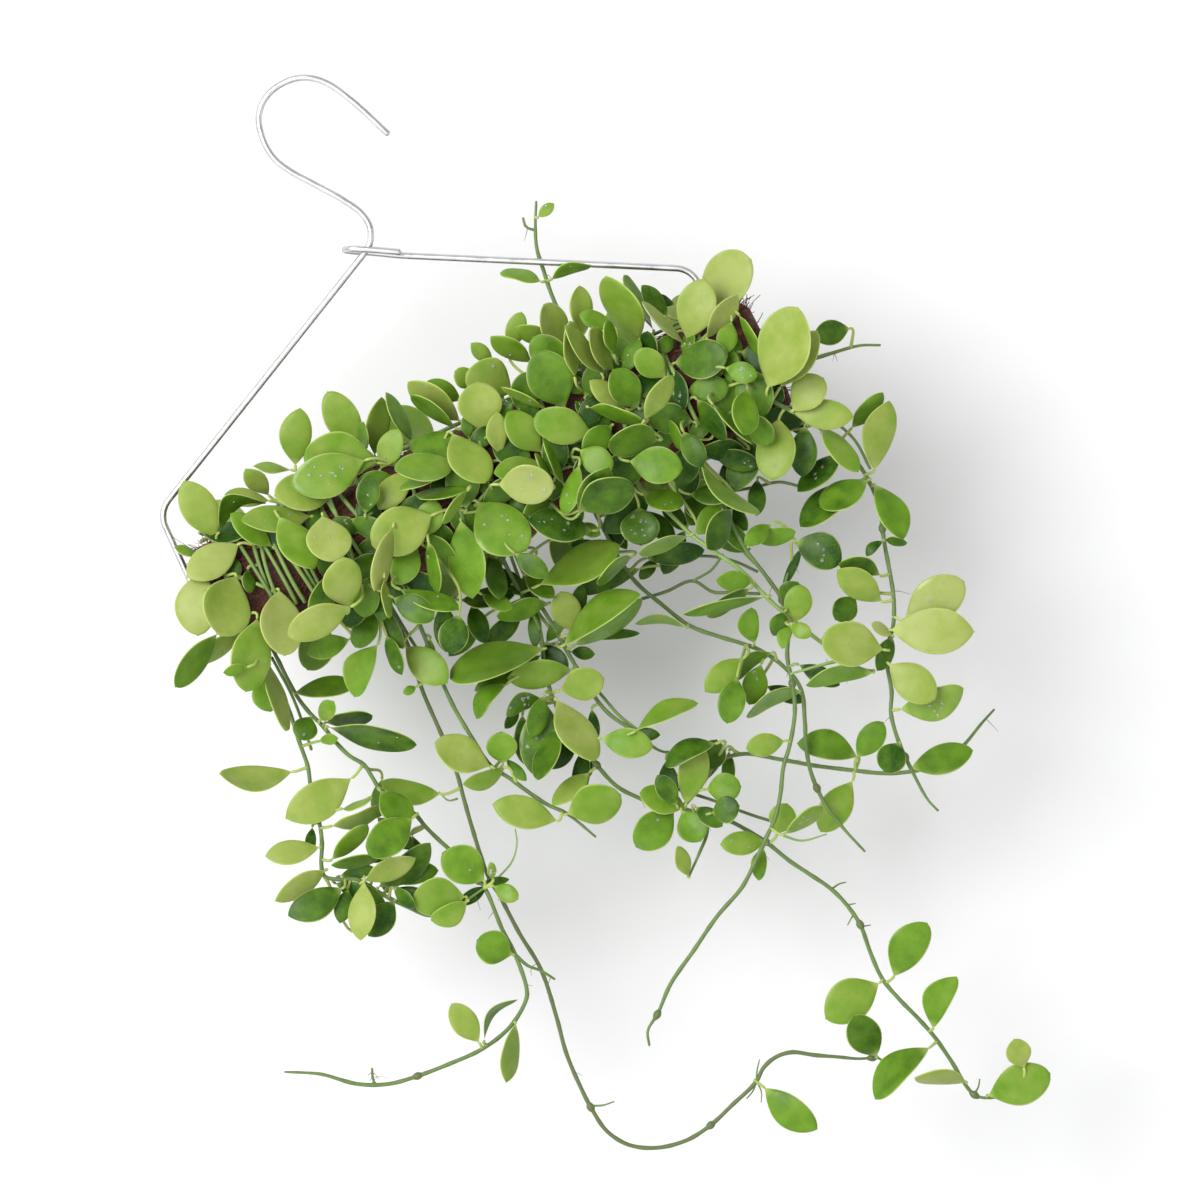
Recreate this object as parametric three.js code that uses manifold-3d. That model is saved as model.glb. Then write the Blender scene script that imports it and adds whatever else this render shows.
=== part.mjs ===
// A dischidia that grows on a coir log, which hangs in a bent wire hanger.
// Millimetres, +Z up. The viewer stands at -Y and +X is to the viewer's right.
// The origin is the point where the inside of the hook rests on its rail.
import * as THREE from 'three';
import { mergeVertices } from 'three/addons/utils/BufferGeometryUtils.js';
import Module from 'manifold-3d';

// Hanger wire
const WIRE_RADIUS = 1.4;
const CORNER_X = 124.8;
const ARM_SLOPE = 0.515;
const NECK_X = -0.5;
const NECK_Z = -79.5;
const NECK_DEPTH = 3.3;
const ARM_BEND = 11;
const LOW_BEND = 7;
const BEARING_X = 14;
const HOOK_STEP = 7;
const WRAP_STEP = 4;
const WIRE_SIDES = 8;
// Coir log
const LOG_Z = -190;
const LOG_RADIUS = 26;
const LOG_LEFT = -119;
const LOG_RIGHT = 140;
const LOG_SIDES = 16;
const LOG_STATIONS = 18;
const FIBRE_RELIEF = 1.1;
const END_ROUNDING = 0.84;
const GAP = 0.5;
const BORE_SIDES = 6;
const LEFT_CHANNEL_TOP = LOG_Z + 20;
const RIGHT_CHANNEL_TOP = LOG_Z + 38;
// Stems
const STEM_RADIUS = 1.1;
const STEM_SIDES = 4;
const DRAPE_REACH = 29.2;
const DRAPE_OVERLAP = 5;
const DRAPE_COUNT = 14;
const DRAPE_FIRST = -110;
const DRAPE_STEP = 17.2;
const ROUTE_STEP = 13;
const DRAPE_STEPS = 6;
const DRAPE_WANDER = 2.2;
const SETTLE_LENGTH = 45;
const BRANCH_SETTLE = 40;
const ROOT_DEPTH = 9;
// Leaves
const LEAF_THICKNESS = 1.7;
const PETIOLE_WIDTH = 1.1;
const PETIOLE_SINK = STEM_RADIUS * 0.3;
const SHORT_PETIOLE = 2.5;
const TOUCHING = 0.5;
const SMALL_LEAF = 27;
const NECK_STATION = 0.03;
const LARGE_BLADE_STATIONS = [0.27, 0.59, 0.88];
const SMALL_BLADE_STATIONS = [0.4, 0.82];
const COLUMN_SIDES = [-1, 0, 1, -1];
const LEAF_LEAN = 4;
const LEAF_STAND_OFF = 1.5;
const LOG_LEAF_REACH = 31;
const LEAF_BOW = 0.06;
const SLIMMEST_LEAF = 0.5;
const BROADEST_LEAF = 0.85;
const LEAN_CHANGES = [0, -3, 3, -6, 6, 9, -9];
const ROLLS = [0.25, -0.25, 0, 0.5, -0.5, 0.75, -0.75, 1, -1, 1.2, -1.2];
const SLIGHT_ROLL = 0.3;
const STEEP_ROLL = 1.1;
const LEAN_COST = 0.22;
const ROLL_COST = 0.8;
// Grid that keeps each leaf clear of what is behind it
const CELL = 1;
const GRID = { left: -210, right: 210, low: -550, high: -60 };
const LEAF_CLEARANCE = 0.3;
const FOLIAGE_REACH = 58;
const FITTING_SPACING = 2;
const REACH_SPACING = 4;
const STAMP_SPACING = 0.9;
const STEM_STAMP_STEP = 1.2;

const wasm = await Module();
wasm.setup();

const colours = {
  wire: { color: 0xb9bcbe, roughness: 0.35, metalness: 0.9 },
  coir: { color: 0x5a3020, roughness: 0.95, metalness: 0 },
  leaf: { color: 0x7fa63c, roughness: 0.4, metalness: 0 },
  backLeaf: { color: 0x5f8a30, roughness: 0.45, metalness: 0 },
  shoot: { color: 0x6f9a38, roughness: 0.45, metalness: 0 },
};

const part = new THREE.Group();

function addMesh(name, geometry, look) {
  const mesh = new THREE.Mesh(geometry, new THREE.MeshStandardMaterial(look));
  mesh.name = name;
  part.add(mesh);
}

// Solids that can be joined and cut

function toSolid(geometry) {
  geometry.deleteAttribute('normal');
  geometry.deleteAttribute('uv');
  const merged = mergeVertices(geometry, 1e-4);
  return new wasm.Manifold(new wasm.Mesh({
    numProp: 3,
    vertProperties: new Float32Array(merged.attributes.position.array),
    triVerts: new Uint32Array(merged.index.array),
  }));
}

function toGeometry(solid) {
  const mesh = solid.getMesh();
  const geometry = new THREE.BufferGeometry();
  geometry.setAttribute('position', new THREE.BufferAttribute(mesh.vertProperties, 3));
  geometry.setIndex(new THREE.BufferAttribute(mesh.triVerts, 1));
  geometry.computeVertexNormals();
  return geometry;
}

function join(solids) {
  let row = solids;
  while (row.length > 1) {
    const next = [];
    for (let i = 0; i < row.length; i += 2) {
      next.push(i + 1 < row.length ? row[i].add(row[i + 1]) : row[i]);
    }
    row = next;
  }
  return row[0];
}

// A path through chosen stations, so that straight runs take a single step
class StationPath extends THREE.Curve {
  constructor(stations) {
    super();
    this.stations = stations;
  }

  getPoint(t, target = new THREE.Vector3()) {
    const last = this.stations.length - 1;
    const i = Math.min(Math.floor(t * last + 1e-9), last - 1);
    return target.lerpVectors(this.stations[i], this.stations[i + 1], t * last - i);
  }

  getUtoTmapping(u) {
    return u;
  }
}

function tube(stations, radius, sides) {
  const section = new THREE.Shape();
  for (let i = 0; i < sides; i += 1) {
    const angle = (2 * Math.PI * i) / sides;
    const point = [radius * Math.cos(angle), radius * Math.sin(angle)];
    if (i === 0) section.moveTo(...point);
    else section.lineTo(...point);
  }
  section.closePath();
  return new THREE.ExtrudeGeometry(section, {
    steps: stations.length - 1,
    extrudePath: new StationPath(stations),
    bevelEnabled: false,
  });
}

// A smooth route through hand-placed points, with a station about every step millimetres
function smoothRoute(points, step) {
  const curve = new THREE.CatmullRomCurve3(points, false, 'centripetal');
  const count = Math.max(3, Math.round(curve.getLength() / step));
  return curve.getSpacedPoints(count);
}

// Hanger wire

function cornerArc(before, corner, after, radius, steps) {
  const from = before.clone().sub(corner).normalize();
  const to = after.clone().sub(corner).normalize();
  const half = Math.acos(THREE.MathUtils.clamp(from.dot(to), -1, 1)) / 2;
  const reach = radius / Math.tan(half);
  const start = corner.clone().addScaledVector(from, reach);
  const end = corner.clone().addScaledVector(to, reach);
  const bisector = from.clone().add(to).normalize();
  const centre = corner.clone().addScaledVector(bisector, radius / Math.sin(half));
  const a = start.clone().sub(centre);
  const b = end.clone().sub(centre);
  const sweep = Math.PI - 2 * half;
  const stations = [];
  for (let i = 0; i <= steps; i += 1) {
    const t = i / steps;
    const point = a.clone().multiplyScalar(Math.sin((1 - t) * sweep) / Math.sin(sweep));
    point.addScaledVector(b, Math.sin(t * sweep) / Math.sin(sweep));
    stations.push(point.add(centre));
  }
  return stations;
}

function wireStations() {
  const v = (x, y, z) => new THREE.Vector3(x, y, z);
  const armZ = (x) => NECK_Z - ARM_SLOPE * (Math.abs(x) - 3 * Math.abs(NECK_X));
  const hook = smoothRoute([
    v(31, 0, -37), v(22.5, 0, -17), v(15.5, 0, -5.5), v(8, 0, 0), v(0, 0, 1.4), v(-9, 0, -0.6),
    v(-15.6, 0, -6.5), v(-18.4, 0, -16), v(-17.6, 0, -26), v(-13.5, 0, -34), v(-6, 0, -44),
    v(1.5, 0, -54), v(6.6, 0, -63), v(7.4, 0, -70), v(4.6, 0, -76), v(NECK_X, 0, NECK_Z),
  ], HOOK_STEP);
  const left = v(-CORNER_X, 0, armZ(CORNER_X));
  const right = v(CORNER_X, 0, armZ(CORNER_X));
  const lowLeft = v(-CORNER_X, 0, LOG_Z);
  const lowRight = v(CORNER_X, 0, LOG_Z);
  const neck = v(NECK_X, 0, NECK_Z);
  const bearing = v(BEARING_X, NECK_DEPTH * 0.8, armZ(BEARING_X));
  const wrap = smoothRoute([
    bearing, v(3, NECK_DEPTH, NECK_Z), v(-3.6, NECK_DEPTH * 0.8, NECK_Z + 3.6),
    v(-6.2, 0, NECK_Z + 5.2), v(-3.6, -NECK_DEPTH * 0.8, NECK_Z + 4.4), v(2, -NECK_DEPTH, NECK_Z + 1.6),
    v(14.6, -NECK_DEPTH, NECK_Z - 5.4),
  ], WRAP_STEP);
  return [
    ...hook,
    ...cornerArc(neck, left, lowLeft, ARM_BEND, 5),
    ...cornerArc(left, lowLeft, lowRight, LOW_BEND, 4),
    ...cornerArc(lowLeft, lowRight, right, LOW_BEND, 4),
    ...cornerArc(lowRight, right, bearing, ARM_BEND, 5),
    ...wrap,
  ];
}

// Coir log

function fibreRelief(x, angle) {
  const lumps = Math.sin(0.23 * x + 2 * Math.sin(angle)) + Math.sin(0.11 * x - 3 * angle + 1.3);
  const ribs = Math.sin(7 * angle + 0.31 * x);
  return FIBRE_RELIEF * (0.3 * lumps + 0.4 * ribs);
}

function logSolid() {
  const length = LOG_RIGHT - LOG_LEFT;
  const log = new THREE.CylinderGeometry(LOG_RADIUS, LOG_RADIUS, length, LOG_SIDES, LOG_STATIONS);
  log.rotateZ(-Math.PI / 2);
  const place = log.attributes.position;
  for (let i = 0; i < place.count; i += 1) {
    const x = place.getX(i);
    const y = place.getY(i);
    const z = place.getZ(i);
    const reach = Math.hypot(y, z);
    if (reach < 1e-3) continue;
    const fromEnd = length / 2 - Math.abs(x);
    const rounding = fromEnd < 1e-3 ? END_ROUNDING : 1;
    const angle = Math.atan2(y, z);
    const scale = (rounding * (LOG_RADIUS + fibreRelief(x, angle))) / reach;
    place.setY(i, y * scale);
    place.setZ(i, z * scale);
  }
  log.translate((LOG_LEFT + LOG_RIGHT) / 2, 0, LOG_Z);
  return toSolid(log);
}

// Leaves

// Cells that hold how near to the viewer anything already reaches, in front of the log or behind it
class Cover {
  constructor(side) {
    this.side = side;
    this.columns = Math.ceil((GRID.right - GRID.left) / CELL);
    this.rows = Math.ceil((GRID.high - GRID.low) / CELL);
    this.reach = new Float64Array(this.columns * this.rows).fill(-1e6);
  }

  cell(x, z) {
    const column = Math.floor((x - GRID.left) / CELL);
    const row = Math.floor((z - GRID.low) / CELL);
    return [column, row];
  }

  stamp(x, z, outward) {
    const [column, row] = this.cell(x, z);
    const at = row * this.columns + column;
    this.reach[at] = Math.max(this.reach[at], outward);
  }

  reachAt(x, z) {
    const [column, row] = this.cell(x, z);
    let most = -1e6;
    for (let i = -1; i <= 1; i += 1) {
      for (let j = -1; j <= 1; j += 1) {
        most = Math.max(most, this.reach[(row + j) * this.columns + column + i]);
      }
    }
    return most;
  }
}

// The width of a blade at a place along it, as a share of its full width. It is widest just past
// the middle, drawn in at the petiole and rounder at the tip.
function bladeWidth(s) {
  const place = THREE.MathUtils.clamp(s, 0, 1);
  return Math.pow(Math.sin(Math.PI * Math.pow(place, 1.12)), 0.62 - 0.16 * place);
}

// Turns a row [base x, base z, tip x, tip z, width seen, lean, arch] into a leaf in space.
// The lean is how far the tip stands out from the base. The arch is how far the blade's middle
// bends to the left of the way from its base to its tip, as the viewer sees it. Every blade also
// bows a little outward, which the viewer doesn't see.
// side is -1 for leaves that face the viewer and +1 for those at the back.
function leafFrom(row, side, depth, lean, roll) {
  const [bx, bz, tx, tz, width, , arch = 0] = row;
  const base = new THREE.Vector3(bx, depth, bz);
  const along = new THREE.Vector3(tx - bx, side * lean, tz - bz);
  const length = along.length();
  along.normalize();
  const out = new THREE.Vector3(0, side, 0);
  const faceOut = out.clone().addScaledVector(along, -out.dot(along)).normalize();
  const across = faceOut.clone().cross(along).multiplyScalar(Math.cos(roll));
  across.addScaledVector(faceOut, Math.sin(roll));
  const normal = along.clone().cross(across);
  const bend = new THREE.Vector3(bz - tz, 0, tx - bx).normalize().multiplyScalar(arch);
  bend.addScaledVector(out, LEAF_BOW * length);
  return { base, along, across, normal, bend, length, width: width / Math.cos(roll) };
}

function leafPoint(leaf, s, t) {
  const bulge = Math.sin(Math.PI * s);
  return leaf.base.clone()
    .addScaledVector(leaf.along, leaf.length * s)
    .addScaledVector(leaf.across, (leaf.width / 2) * bladeWidth(s) * t)
    .addScaledVector(leaf.bend, bulge);
}

function leafSamples(leaf, spacing) {
  const samples = [];
  const along = Math.ceil(leaf.length / spacing);
  const across = Math.ceil(leaf.width / (2 * spacing));
  for (let i = 0; i <= along; i += 1) {
    for (let j = -across; j <= across; j += 1) {
      samples.push(leafPoint(leaf, i / along, j / across));
    }
  }
  return samples;
}

// Lays a leaf over what is behind it. Of the leans and rolls that give it the width seen, it takes
// the one that needs the least shift outward.
function layLeaf(cover, row, depth) {
  const side = cover.side;
  const wanted = row[5] ?? LEAF_LEAN;
  const flat = Math.hypot(row[2] - row[0], row[3] - row[1]);
  let best = null;
  for (const change of LEAN_CHANGES) {
    const lean = wanted + change;
    const length = Math.hypot(flat, lean);
    for (const roll of ROLLS) {
      const aspect = row[4] / Math.cos(roll) / length;
      const fits = aspect >= SLIMMEST_LEAF && aspect <= BROADEST_LEAF;
      const plain = Math.abs(roll) < SLIGHT_ROLL && row[4] / length > BROADEST_LEAF;
      const steep = Math.abs(roll) > STEEP_ROLL && aspect < SLIMMEST_LEAF;
      if (!fits && !plain && !steep) continue;
      const leaf = leafFrom(row, side, depth, lean, roll);
      let shift = 0;
      for (const p of leafSamples(leaf, FITTING_SPACING)) {
        shift = Math.max(shift, cover.reachAt(p.x, p.z) + LEAF_CLEARANCE - p.y * side);
      }
      const score = shift + LEAN_COST * Math.abs(change) + ROLL_COST * Math.abs(roll);
      if (best === null || score < best.score) best = { leaf, shift, score };
    }
  }
  const { leaf } = best;
  const outermost = Math.max(...leafSamples(leaf, REACH_SPACING).map((p) => p.y * side));
  const shift = Math.min(best.shift, Math.max(0, FOLIAGE_REACH - outermost));
  leaf.base.y += shift * side;
  for (const p of leafSamples(leaf, STAMP_SPACING)) {
    cover.stamp(p.x, p.z, p.y * side + LEAF_THICKNESS);
  }
  return leaf;
}

// A fleshy blade with its petiole: a sphere of three meridians, the two rims and the ridge of its
// outer face, drawn out from the stem to the tip. Where the petiole is short the blade starts at it.
function bladeSolid(leaf, anchor) {
  const toBase = leaf.base.clone().sub(anchor);
  const neck = toBase.length() > SHORT_PETIOLE ? [NECK_STATION] : [];
  const middle = leaf.length < SMALL_LEAF ? SMALL_BLADE_STATIONS : LARGE_BLADE_STATIONS;
  const stations = [...neck, ...middle];
  const rings = stations.length + 2;
  const sphere = new THREE.SphereGeometry(1, 3, rings);
  const place = sphere.attributes.position;
  if (toBase.length() > TOUCHING) toBase.normalize();
  else toBase.copy(leaf.along);
  const turn = new THREE.Quaternion().setFromUnitVectors(leaf.along, toBase);
  const petioleAcross = leaf.across.clone().applyQuaternion(turn);
  const petioleNormal = leaf.normal.clone().applyQuaternion(turn);
  const half = PETIOLE_WIDTH / 2;
  for (let ring = 0; ring <= rings; ring += 1) {
    for (let column = 0; column <= 3; column += 1) {
      const side = COLUMN_SIDES[column];
      const ridge = column === 1;
      const s = stations[ring - 2];
      let point;
      if (ring === 0) {
        point = anchor.clone().addScaledVector(toBase, -PETIOLE_SINK);
      } else if (ring === 1) {
        point = anchor.clone().addScaledVector(petioleAcross, side * half);
        point.addScaledVector(petioleNormal, ridge ? half : -half / 2);
      } else if (ring === rings) {
        point = leafPoint(leaf, 1, 0);
      } else if (s === NECK_STATION) {
        point = leafPoint(leaf, s, 0).addScaledVector(leaf.across, side * half);
        point.addScaledVector(leaf.normal, ridge ? half : -half);
      } else {
        point = leafPoint(leaf, s, side);
        if (ridge) point.addScaledVector(leaf.normal, LEAF_THICKNESS);
      }
      place.setXYZ(ring * 4 + column, point.x, point.y, point.z);
    }
  }
  return toSolid(sphere);
}

// The place on the stems that a leaf springs from: the nearest one that isn't ahead of its base
function anchorOn(routes, leaf) {
  const line = new THREE.Line3();
  const spot = new THREE.Vector3();
  const way = new THREE.Vector3();
  let best = null;
  let least = Infinity;
  for (const route of routes) {
    for (let i = 0; i + 1 < route.length; i += 1) {
      line.set(route[i], route[i + 1]);
      line.closestPointToPoint(leaf.base, true, spot);
      way.subVectors(spot, leaf.base);
      const ahead = Math.max(0, way.dot(leaf.along));
      const cost = way.length() + 3 * ahead;
      if (cost < least) {
        least = cost;
        best = spot.clone();
      }
    }
  }
  return best;
}

function stampRoute(cover, route) {
  for (let i = 0; i + 1 < route.length; i += 1) {
    const steps = Math.ceil(route[i].distanceTo(route[i + 1]) / STEM_STAMP_STEP);
    for (let k = 0; k <= steps; k += 1) {
      const p = route[i].clone().lerp(route[i + 1], k / steps);
      cover.stamp(p.x, p.z, p.y * cover.side + STEM_RADIUS);
    }
  }
}

function stampLog(cover) {
  const reach = DRAPE_REACH + STEM_RADIUS;
  for (let x = LOG_LEFT; x <= LOG_RIGHT; x += CELL) {
    for (let rise = -LOG_RADIUS; rise <= LOG_RADIUS; rise += CELL) {
      cover.stamp(x, LOG_Z + rise, Math.sqrt(reach * reach - rise * rise));
    }
  }
}

// Puts a spray together from its stems and leaves, as one closed body
function addSpray(name, look, cover, routes, rows, depthOf) {
  routes.forEach((route) => stampRoute(cover, route));
  const solids = routes.map((route) => toSolid(tube(route, STEM_RADIUS, STEM_SIDES)));
  rows.forEach((row) => {
    const leaf = layLeaf(cover, row, depthOf(row, routes));
    solids.push(bladeSolid(leaf, anchorOn(routes, leaf)));
  });
  addMesh(name, toGeometry(join(solids)), look);
}

// Stems that lie over the log, side by side, and a runner along its top that they all spring from
function drapedStems(side, count, step, shift, topTurn, endTurn) {
  const routes = [];
  const topStart = topTurn - DRAPE_OVERLAP;
  const place = (x, turn) => {
    const a = THREE.MathUtils.degToRad(turn);
    return new THREE.Vector3(x, side * DRAPE_REACH * Math.sin(a), LOG_Z + DRAPE_REACH * Math.cos(a));
  };
  for (let i = 0; i < count; i += 1) {
    const x = DRAPE_FIRST + shift + i * step;
    const stem = [];
    for (let k = 0; k <= DRAPE_STEPS; k += 1) {
      const wander = DRAPE_WANDER * Math.sin(0.9 * k + i) * Math.min(1, k / 2);
      stem.push(place(x + wander, topStart + ((endTurn - topStart) * k) / DRAPE_STEPS));
    }
    routes.push(stem);
  }
  const first = DRAPE_FIRST + shift - 4;
  const last = DRAPE_FIRST + shift + (count - 1) * step + 4;
  const runner = [];
  for (let k = 0; k <= count + 1; k += 1) {
    runner.push(place(first + ((last - first) * k) / (count + 1), topTurn));
  }
  routes.push(runner);
  return routes;
}

// A shoot that stands in a hole in the log and hangs from it. Its points are [x, z], and it goes
// from its root to its own depth within its first centimetres.
const rootInside = new THREE.Vector3(0, 0, ROOT_DEPTH);
const holes = [];

function settledPath(fromDepth, toDepth, points, settle) {
  let run = 0;
  return points.map(([x, z], i) => {
    if (i > 0) run += Math.hypot(x - points[i - 1][0], z - points[i - 1][1]);
    const ease = THREE.MathUtils.smoothstep(run, 0, settle);
    return new THREE.Vector3(x, fromDepth + (toDepth - fromDepth) * ease, z);
  });
}

function rootedRoute(rootDepth, depth, points, lift = rootInside) {
  const path = settledPath(rootDepth, depth, points, SETTLE_LENGTH);
  const inside = path[0].clone().add(lift);
  holes.push([inside.clone().addScaledVector(lift, 0.1), path[0].clone().addScaledVector(lift, -0.8)]);
  return [inside, ...smoothRoute(path, ROUTE_STEP)];
}

function branch(fromDepth, toDepth, points) {
  const [first, last] = [points[0], points[points.length - 1]];
  const settle = Math.min(BRANCH_SETTLE, Math.hypot(last[0] - first[0], last[1] - first[1]));
  return smoothRoute(settledPath(fromDepth, toDepth, points, settle), ROUTE_STEP);
}

// Leaves on a hanging shoot start beside their stem
function besideStem(row, routes) {
  const flat = new THREE.Vector3();
  let depth = 0;
  let least = Infinity;
  for (const route of routes) {
    for (const p of route) {
      flat.set(p.x - row[0], 0, p.z - row[1]);
      if (flat.length() < least) {
        least = flat.length();
        depth = p.y;
      }
    }
  }
  return depth - LEAF_STAND_OFF;
}

// Leaves on the log start just off its surface
function offLog(side) {
  return (row) => {
    const rise = row[1] - LOG_Z;
    const reach = Math.sqrt(Math.max(0, LOG_LEAF_REACH ** 2 - rise * rise));
    return side * Math.max(reach, rise > 0 ? 5 : 14);
  };
}

const front = new Cover(-1);
const back = new Cover(1);

const wire = wireStations();
[front, back].forEach((cover) => {
  stampRoute(cover, wire);
  stampLog(cover);
});

// Top shoot, which stands up past the right arm
const topRoot = new THREE.Vector3(0, 0, -ROOT_DEPTH);
addSpray('top_shoot', colours.shoot, front, [
  rootedRoute(3, 6, [[66, -160], [65.5, -148], [66, -127], [67, -118], [68.5, -107], [72, -98],
    [76.5, -89]], topRoot),
  branch(6, 6, [[71, -100], [68, -97], [68.5, -93]]),
], [
  [64, -121, 50, -110.5, 6, -2, -1], [69, -122, 86, -124, 5, -2, 2], [74.5, -95.5, 83, -93, 5, 1],
], besideStem);

// Longest shoot and its neighbours under the middle of the log
addSpray('centre_spray', colours.shoot, front, [
  rootedRoute(1, 4, [[0, -219], [1, -240], [2, -255], [-3, -272], [-5, -284], [-4, -300], [0, -318],
    [4, -330], [10, -338], [17, -345], [25, -350], [33, -357], [41, -363], [48, -372], [52, -378],
    [58, -390], [63, -398], [69, -408], [72, -416], [74, -427], [73, -440], [73, -452], [76, -463],
    [80, -474], [83, -484], [85, -495], [88, -513], [93, -517], [101, -519]]),
  rootedRoute(5, 7, [[6, -219], [6, -240], [8, -258], [9, -272], [11, -290], [14, -301], [20, -311],
    [27, -324], [33, -328]]),
  branch(4, 26, [[26, -350], [37, -345], [48, -339], [60, -341], [72, -349], [85, -358], [98, -366],
    [110, -373], [120, -377], [130, -379], [140, -379], [148, -376], [158, -371], [165, -368]]),
  branch(4, 2, [[33, -357], [31, -364], [24, -371], [16, -378]]),
  branch(4, 7, [[1, -262], [5, -264], [9, -266]]),
], [
  [122, -376, 149, -380, 13], [97, -370.5, 75.5, -384.5, 14], [103, -362, 82, -346, 13, 4, -2.5],
  [103, -362, 119, -353, 11.5], [13, -268, 47, -262, 9, 2, -1.5], [18, -258, 26, -246, 7, 2],
  [10, -247, -12, -243, 9], [7, -277, -19, -269, 12.5], [-20, -271, -38, -279, 8, 3, -3.5],
  [-9, -285, -25, -312, 18], [-9, -284, -26, -283, 8, 3, -3], [-8, -282, -20, -296, 9, 2],
  [-8, -296, -25, -313.5, 10, 2], [14, -262, 17, -245, 13], [0, -264, -41, -259, 15, 4, -2.5],
  [6, -232, 13, -246, 8, 2], [-24, -230, -2, -238, 9, 2], [9, -266, 47, -260, 12, 4, 4],
  [10, -238.5, 48, -237.5, 16], [-4, -286, 0, -316, 15], [-1, -283, 18, -286, 14.5], [7, -309, 25, -321, 13],
  [21, -312, 50, -312, 8, 3, 3], [-4, -320, -24, -326, 9], [22, -350, 1, -357, 16], [27, -350, 12, -337, 12],
  [42, -341, 51, -330, 12], [28, -349, 44, -328, 13], [38, -347, 52, -352, 13], [25, -351, 27, -366, 13.5],
  [31, -352, 38, -364, 8, 2], [50, -331, 27, -331, 9, 3, -3], [24, -348, 22, -333, 9, 2],
  [36, -357, 48, -359, 12], [16, -378, 17, -364, 7], [52, -378, 34, -371, 10.5],
  [50, -380, 42.5, -391.5, 7, 4, -1], [58, -377, 67, -367, 12], [71, -453, 44, -457, 18.5, 4, -1],
  [78, -453, 100, -438, 16, 4, 2], [84, -480, 102, -464, 12.5, 4, 4], [79, -487, 49, -497, 12.5, 4, -4],
  [87, -507, 68, -495, 8, 4, -1.5], [93, -516, 121, -518, 18], [112, -511, 113, -498, 11],
], besideStem);

// Bare shoot that ends straight down, and the leaves on its upper half
addSpray('straight_shoot', colours.shoot, front, [
  rootedRoute(6, 15, [[44, -219], [47, -252], [54, -268], [61, -281], [70, -290], [78, -297], [84, -303],
    [90, -313], [93, -325], [89, -338], [85, -348], [82, -360], [82, -375], [85, -388], [89, -400]]),
], [
  [50, -244, 33, -247, 6], [83, -299, 88, -285, 9.5, 4, 2], [88, -306, 69, -309.5, 7, 3, -2.5],
  [82, -308.5, 70, -322, 11], [92, -326, 67, -326, 7, 3, -2], [76, -303, 55, -309, 12],
  [70, -309, 58, -325, 12], [59, -281, 40, -270.5, 4, 2, -3],
], besideStem);

// Long shoot that hangs down, turns back up to the right and bears a leaf at its end
addSpray('u_turn_shoot', colours.shoot, front, [
  rootedRoute(6, 13, [[-53, -219], [-52, -240], [-54.5, -258], [-55, -280], [-56, -298], [-57.5, -307],
    [-59.5, -320], [-62, -343], [-61, -352], [-60, -370], [-58, -388], [-60.5, -410], [-63, -425],
    [-63.5, -440], [-63, -452], [-61, -463], [-55, -472], [-45, -478], [-32, -480.5], [-20, -479],
    [-8, -475], [6, -470], [11, -466], [18, -464], [25, -465], [33, -470], [42, -475], [50, -479.5],
    [57, -482]]),
], [
  [-66, -302, -87, -287, 10.5, 4, 2], [8, -474, 21, -499, 14, 4, -1.5], [57, -481, 55, -461, 15],
], besideStem);

// Short pale shoot left of the middle
addSpray('short_shoot', colours.shoot, front, [
  rootedRoute(-2, 0, [[-43, -219], [-44, -240], [-45, -256], [-45, -270], [-43.5, -285], [-41, -300],
    [-36, -308], [-31, -317], [-26, -325], [-20, -332], [-13, -346]]),
], [
  [-56, -256, -62, -256.5, 4, 2], [-53, -239, -43, -260, 14.5], [-36, -301, -31, -288.5, 13.5],
  [-36, -303, -55, -302, 8, 3, 2], [-41, -300, -58, -281, 15.5], [-20, -332, 4, -334, 18],
  [-25, -333, -47, -315, 14],
], besideStem);

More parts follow.
